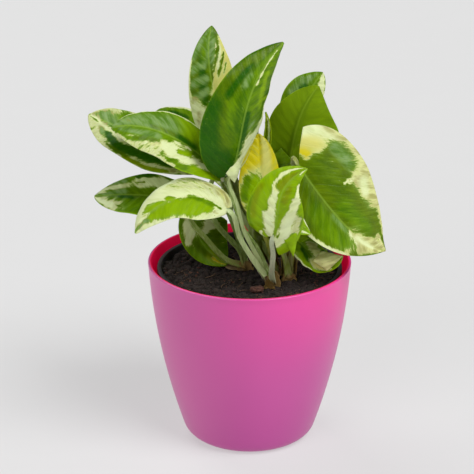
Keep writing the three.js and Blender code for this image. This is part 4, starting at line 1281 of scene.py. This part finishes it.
curves = paths.node("GeometryNodeMeshToCurve", {"Mesh": paths})
channel_side = carried("channel", "FLOAT_VECTOR")
curves = curves.node("GeometryNodeSetCurveNormal", {"Curve": curves, "Normal": channel_side}, mode="FREE")
ring = paths.node("GeometryNodeCurvePrimitiveCircle", {"Resolution": RING_POINTS, "Radius": 1.0})
ring_x = paths.node("GeometryNodeInputPosition").part("X")
past = ring_x - CHANNEL_FROM
dent = past.math("MAXIMUM", past, 0.0) * channel_depth
inward = paths.node("ShaderNodeCombineXYZ", {"X": dent * -1.0})
ring = paths.node("GeometryNodeSetPosition", {"Geometry": ring, "Offset": inward})
ring = paths.node(
    "GeometryNodeStoreNamedAttribute", {"Geometry": ring, "Name": "around", "Value": ring_x},
    data_type="FLOAT", domain="POINT",
)
tubes = paths.node(
    "GeometryNodeCurveToMesh",
    {"Curve": curves, "Profile Curve": ring, "Scale": carried("girth", "FLOAT"), "Fill Caps": True},
)
rise = paths.node("GeometryNodeInputPosition").scaled((1.0, 1.0, 0.35)).noise(900, 3, 0.5)
push = paths.node("GeometryNodeInputNormal").longer((rise - 0.5) * grain_depth)
tubes = paths.node("GeometryNodeSetPosition", {"Geometry": tubes, "Offset": push})
tubes = paths.node("GeometryNodeSetShadeSmooth", {"Geometry": tubes})
tubes = paths.node("GeometryNodeRealizeInstances", {"Geometry": tubes})
tubes = paths.node("GeometryNodeSetMaterial", {"Geometry": tubes, "Material": skin})
paths.node("NodeGroupOutput", {"Stalks": tubes}, None)

PALE_LINES = rgb(226, 236, 176)
DARK_LINES = rgb(96, 128, 20)
CHANNEL_PAINTED_SHADE = rgb(104, 134, 40)
FOOT_BROWNS = rgb(98, 70, 30), rgb(158, 130, 70)
STALK_LIGHT = rgb(168, 186, 96)
stalk_skin, place = new_material("stalk_skin")
tone = place.node("ShaderNodeAttribute", output="Color", attribute_name="tone")
foot = place.node("ShaderNodeAttribute", output="Fac", attribute_name="foot")
round_spot = place.node("ShaderNodeAttribute", output="Fac", attribute_name="around")
streak = place.scaled((900.0, 900.0, 90.0)).noise(1.0, 4, 0.6)
blotch = place.noise(260, 3)
fresh = (streak.step(0.35, 0.7) * 0.4).mix(tone, PALE_LINES)
fresh = ((1.0 - streak).step(0.5, 0.7) * 0.3).mix(fresh, DARK_LINES)
# Painted shade: the stalk's channel groove is darker.
fresh = (round_spot.step(0.35, 0.8) * 0.3).mix(fresh, CHANNEL_PAINTED_SHADE)
brown = blotch.step(0.3, 0.7).mix(*FOOT_BROWNS)
worn = (foot + (streak - 0.5) * 0.5 + (blotch - 0.5) * 0.4).step(0.35, 0.8)
finish(
    place, worn.mix(fresh, brown), roughness=0.38 + worn * 0.35, bump=streak * 0.6 + blotch * 0.5,
    depth=0.0003, coat=0.1, through=0.18, passed=STALK_LIGHT,
)


def stem_piece(stem_name, at, height, stalks):
    """A stem with its stalks: paths that carry a girth, a channel side, a tone and how brown they are."""
    stump, radius, channel = stump_path(at, height)
    stain = STUMP_STAIN - (stump[:, 2] - SOIL_TOP) * STUMP_STAIN_FADE
    runs = [(stump, radius, channel, STUMP_BROWN, np.clip(stain, LEAST_STAIN, MOST_STAIN))]
    for leaf_name, (waypoints, colour, girth) in stalks.items():
        path, radius, channel, _ = stalk_path(at, leaf_name, waypoints, girth)
        stain = np.clip(1.0 - (path[:, 2] - SOIL_TOP) / STALK_STAIN_HEIGHT, 0, 1) ** STALK_STAIN_FADE
        runs.append((path, radius, channel, colour, stain))
    points, edges, girths, channels, tones, feet = [], [], [], [], [], []
    for path, radius, channel, colour, stain in runs:
        first = len(points)
        points.extend(tuple(point) for point in path * MM)
        edges.extend((first + k, first + k + 1) for k in range(len(path) - 1))
        girths.extend(radius * MM)
        channels.extend(channel)
        tones.extend([rgb(*colour)] * len(path))
        feet.extend(stain)
    mesh = bpy.data.meshes.new(f"stalks_{stem_name}")
    mesh.from_pydata(points, edges, [])
    for label, kind_of_value, field_name, values in (
        ("girth", "FLOAT", "value", girths), ("channel", "FLOAT_VECTOR", "vector", channels),
        ("tone", "FLOAT_COLOR", "color", tones), ("foot", "FLOAT", "value", feet),
    ):
        held_values = mesh.attributes.new(label, kind_of_value, "POINT")
        held_values.data.foreach_set(field_name, np.array(values, float).ravel())
    piece = bpy.data.objects.new(f"stem_{stem_name}_grown", mesh)
    bpy.context.scene.collection.objects.link(piece)
    grow(piece, stalk_tree, {"Channel": CHANNEL_DEPTH, "Grain": GRAIN_DEPTH, "Skin": stalk_skin})
    outward(piece)
    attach(piece, "root")
    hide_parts(f"stem_{stem_name}")


for stem_name, stem in STEMS.items():
    stem_piece(stem_name, *stem)


# Dry sheaths
# Thin membranes of the leaf sheaths that clasp the stalks: papery tan husks near the soil, and
# pale green wings higher up. Each is half rolled, and ragged towards one end.
SHEATH_THICK = 0.14
SHEATH_ROWS = 26
SHEATH_COLUMNS = 15
SHEATH_GAP = 0.25
SHEATH_FLARE = 0.5
SHEATH_TWIST = 0.25
SHEATH_CURL = 0.35
SHEATH_RUFFLE = 0.1
NARROWING = 2.2
NARROWEST = 0.12
TEAR = 0.35
TEAR_DEEPEST = -0.1
TEAR_PITCH = 5
TEAR_SHIFT = 3.3

# Each sheath: its stem and leaf, from and to which share of the stalk, how far it is turned round
# the stalk, how far it reaches round it and stands off it, and its colour
SHEATHS = [
    ("front", "left_front", 0.02, 0.24, -0.35, 0.9, 1.0, (206, 214, 180)),
    ("front", "front_tall", 0.02, 0.22, 0.3, 1.5, 1.5, (196, 168, 134)),
    ("front", "small_centre", 0.0, 0.26, 2.4, 1.0, 1.6, (150, 120, 60)),
    ("right", "low_right", 0.02, 0.66, 0.2, 1.3, 1.7, (176, 146, 74)),
    ("right", "right_big", 0.01, 0.3, -0.4, 1.4, 1.5, (160, 130, 62)),
    ("middle", "yellow", 0.02, 0.4, 0.1, 1.3, 1.3, (160, 112, 66)),
    ("middle", "yellow", 0.15, 0.97, 0.6, 1.25, 3.2, (106, 132, 10)),
    ("middle", "back_tall", 0.95, 0.2, -0.3, 1.4, 2.8, (128, 154, 34)),
    ("middle", "furled", 0.97, 0.35, -0.3, 1.5, 3.6, (124, 150, 30)),
    ("front", "front_tall", 0.995, 0.78, 0.6, 1.2, 3.0, (236, 244, 204)),
    ("left", "left_low", 0.02, 0.2, 0.3, 1.4, 1.4, (160, 134, 96)),
]
STREAK_BROWN = rgb(96, 66, 44)
CLOUD_WHITE = rgb(226, 218, 196)
SHEATH_LIGHT = rgb(160, 160, 80)
husk, place = new_material("dry_sheath")
paper = place.scaled((1400.0, 1400.0, 130.0)).noise(1.0, 4, 0.6)
cloud = place.noise(330, 3)
tone = place.node("ShaderNodeAttribute", output="Color", attribute_name="tone")
shade = (paper.step(0.4, 0.75) * 0.5).mix(tone, STREAK_BROWN)
shade = (cloud.step(0.5, 0.8) * 0.5).mix(shade, CLOUD_WHITE)
finish(place, shade, roughness=0.6, bump=paper, depth=0.0002, through=0.35, passed=SHEATH_LIGHT)


def thicken(piece, depth):
    """Gives a thin sheet its wall, in mm, half to each side."""
    wall = piece.modifiers.new("thickness", "SOLIDIFY")
    wall.thickness = depth * MM
    wall.offset = 0
    apply_modifiers(piece)


def sheath_piece(index, stem_name, leaf_name, start, end, lean, spread, stand_off, colour):
    """A half-rolled membrane round part of a stalk, narrower and more ragged towards its end."""
    at, _, stalks = STEMS[stem_name]
    waypoints, _, girth = stalks[leaf_name]
    path, radius, channel, tangent = stalk_path(at, leaf_name, waypoints, girth)
    count = len(path) - len(RIDGE_STATIONS)
    rows = np.linspace(start, end, SHEATH_ROWS) * (count - 1)

    def at_rows(values):
        """Values of the stalk's points, read at the sheath's rows."""
        return np.stack([np.interp(rows, np.arange(count), part) for part in values[:count].T], 1)

    centre, out, run = at_rows(path), at_rows(channel), at_rows(tangent)
    thick = np.interp(rows, np.arange(count), radius[:count])
    side = np.cross(run, out)
    points = []
    for row, share in enumerate(np.linspace(0, 1, SHEATH_ROWS)):
        torn = max(field.noise((share * TEAR_PITCH, index * TEAR_SHIFT, 2.0)) * TEAR, TEAR_DEEPEST)
        reach = spread * (1 - share**NARROWING) + NARROWEST + torn * (1 - share)
        for step in np.linspace(-1, 1, SHEATH_COLUMNS):
            angle = lean + math.pi + step * reach + SHEATH_TWIST * share * math.sin(index)
            ruffle = SHEATH_RUFFLE * field.noise((step * 2, share * 7, index))
            curl = 1 + abs(step) ** 2 * SHEATH_CURL * (0.3 + share) + ruffle
            away = thick[row] * stand_off * 1.02 * curl + SHEATH_GAP + share * SHEATH_FLARE
            spot = centre[row] + (out[row] * math.cos(angle) + side[row] * math.sin(angle)) * away
            points.append(spot * MM)
    faces = grid_faces(SHEATH_ROWS, SHEATH_COLUMNS)
    piece = new_piece(f"dry_sheath_{leaf_name}_{index}", points, faces, [husk], "stalk")
    tones = piece.data.attributes.new("tone", "FLOAT_COLOR", "POINT")
    tones.data.foreach_set("color", np.tile(rgb(*colour), (len(points), 1)).ravel())
    thicken(piece, SHEATH_THICK)


for index, sheath in enumerate(SHEATHS):
    sheath_piece(index, *sheath)


# Curled margins
# Loose corners where a blade's margin is torn or rolls over towards the front: the same thin
# waxy skin, creamy, lime or deep green, grown from the blade that it hangs on.
FLAP_GRID = 15
FLAP_THICK = 0.4
FLAP_WAVE = 0.9
FLAP_WAVE_PITCH = 0.22
FLAP_CHART_START = 3

# Each flap: the blade it grows from, how far it bellies, its ink, and its four corners in turn
FLAPS = [
    ("front_tall", 1.2, "cream",
     [(-12.5, -30.5, 161.2), (-6.3, -29, 169.2), (-4.8, -27, 163.5), (-8.1, -29.5, 155.7)]),
    ("small_centre", 0.9, "lime",
     [(16.8, -44.2, 131), (24.7, -44.6, 137.2), (23.8, -44, 128.1), (22.4, -42.5, 120)]),
    ("low_right", 1.4, "beige",
     [(33.1, -27.5, 111.3), (37.9, -24.5, 115.8), (48.9, -27, 113.9), (40.5, -29, 106.2)]),
    ("right_back", 1.0, "moss",
     [(10.7, 4, 157.6), (16.6, 5, 162.9), (22.5, 5, 156.1), (16.7, 3, 148.9)]),
    ("low_right", 1.2, "lime",
     [(21.1, -21, 124.6), (24.8, -19, 127.7), (31.2, -20, 121.3), (26.3, -24, 120.1)]),
]


def flap_piece(index, leaf_name, belly, tone, corners):
    """A four-cornered patch of blade skin that bellies forwards, with a waved margin."""
    even = np.linspace(0, 1, FLAP_GRID)
    u, v = [grid.ravel()[:, None] for grid in np.meshgrid(even, even, indexing="ij")]
    first, second, third, last = np.array(corners, float)
    spots = (1 - u) * (1 - v) * first + u * (1 - v) * second + u * v * third + (1 - u) * v * last
    facing = np.cross(second - last, third - first)
    facing *= -np.sign(facing[1]) / np.linalg.norm(facing)
    wave = np.array([field.noise(tuple(spot * FLAP_WAVE_PITCH)) for spot in spots])[:, None]
    spots = spots + facing * (belly * np.sin(math.pi * u) * np.sin(math.pi * v) + wave * FLAP_WAVE)
    slot = LEAF_SLOTS.get(leaf_name, "variegated_leaf")
    name = f"curled_margin_{leaf_name}_{index}"
    piece = new_piece(name, spots * MM, grid_faces(FLAP_GRID, FLAP_GRID), [upper_skin], slot)
    width, length = np.linalg.norm(second - first), np.linalg.norm(last - first)
    flat = np.concatenate([u * width, v * length + FLAP_CHART_START], 1) / 10
    dress(piece, np.tile(INKS[tone], (len(spots), 1)), flat)
    thicken(piece, FLAP_THICK)
    outward(piece)


for index, flap in enumerate(FLAPS):
    flap_piece(index, *flap)


# Studio
# A plain pale floor, soft even light from all round, a soft key from the upper right in front
# and a broad sheen from behind on the left, with the camera at the photograph's angle.
ELEVATION = math.radians(21.73)
CAMERA_DISTANCE = 1.0
TARGET = (-0.00682, 0.0, 0.11393)
SENSOR_WIDTH = 36
FOCAL_PIXELS = 1855
FRAME_PIXELS = 474
FLOOR_REACH = 6
PAPER_WHITES = rgb(144, 144, 144), rgb(146, 146, 146)
PAPER_GLOW = 0.45
AIR_LOW = 0.4
AIR_ABOVE = 1.35
floor_corners = [(x * FLOOR_REACH, y * FLOOR_REACH, 0) for x, y in ((-1, -1), (1, -1), (1, 1), (-1, 1))]
floor_form = bpy.data.meshes.new("studio_floor")
floor_form.from_pydata(floor_corners, [], [(0, 1, 2, 3)])
floor = bpy.data.objects.new("studio_floor", floor_form)
bpy.context.scene.collection.objects.link(floor)
paper, place = new_material("studio_paper")
paper_white = place.noise(30, 2).mix(*PAPER_WHITES)
finish(place, paper_white, roughness=0.95, bump=place.noise(400), depth=0.00001, glow=PAPER_GLOW)
floor_form.materials.append(paper)

world = bpy.data.worlds.new("studio_air")
bpy.context.scene.world = world
world.use_nodes = True
rise = Wire(world.node_tree).node("ShaderNodeTexCoord", output="Generated").part("Z").step(0.0, 0.95)
sky = world.node_tree.nodes["Background"].inputs
world.node_tree.links.new((rise * (AIR_ABOVE - AIR_LOW) + AIR_LOW).socket, sky["Strength"])


def lamp(name, kind, energy, place, aim, **settings):
    """A light at a place that points at another."""
    data = bpy.data.lights.new(name, kind)
    data.energy = energy
    for key, value in settings.items():
        setattr(data, key, value)
    light = bpy.data.objects.new(name, data)
    light.location = place
    light.rotation_euler = (Vector(aim) - Vector(place)).to_track_quat("-Z", "Y").to_euler()
    bpy.context.scene.collection.objects.link(light)


lamp("key", "SUN", 2.35, (0.8, -0.75, 1.7), (0, 0, 0.1), angle=math.radians(32))
lamp("front", "AREA", 38.0, (-1.6, -2.4, 1.9), (0, 0, 0.1), shape="RECTANGLE", size=2.0, size_y=2.0)
lamp("right", "AREA", 15.0, (2.3, -1.5, 0.9), (0, 0, 0.12), shape="RECTANGLE", size=1.6, size_y=1.6)
lamp("sheen", "AREA", 150.0, (-2.8, 3.6, 5.2), (0, 0, 0.15), shape="RECTANGLE", size=4.0, size_y=3.2)

view = bpy.data.cameras.new("camera")
view.sensor_width = SENSOR_WIDTH
view.lens = SENSOR_WIDTH * FOCAL_PIXELS / FRAME_PIXELS
camera = bpy.data.objects.new("camera", view)
camera.location = (
    TARGET[0],
    TARGET[1] - CAMERA_DISTANCE * math.cos(ELEVATION),
    TARGET[2] + CAMERA_DISTANCE * math.sin(ELEVATION),
)
camera.rotation_euler = (math.pi / 2 - ELEVATION, 0, 0)
bpy.context.scene.collection.objects.link(camera)
bpy.context.scene.camera = camera
bpy.context.scene.view_settings.view_transform = "Standard"
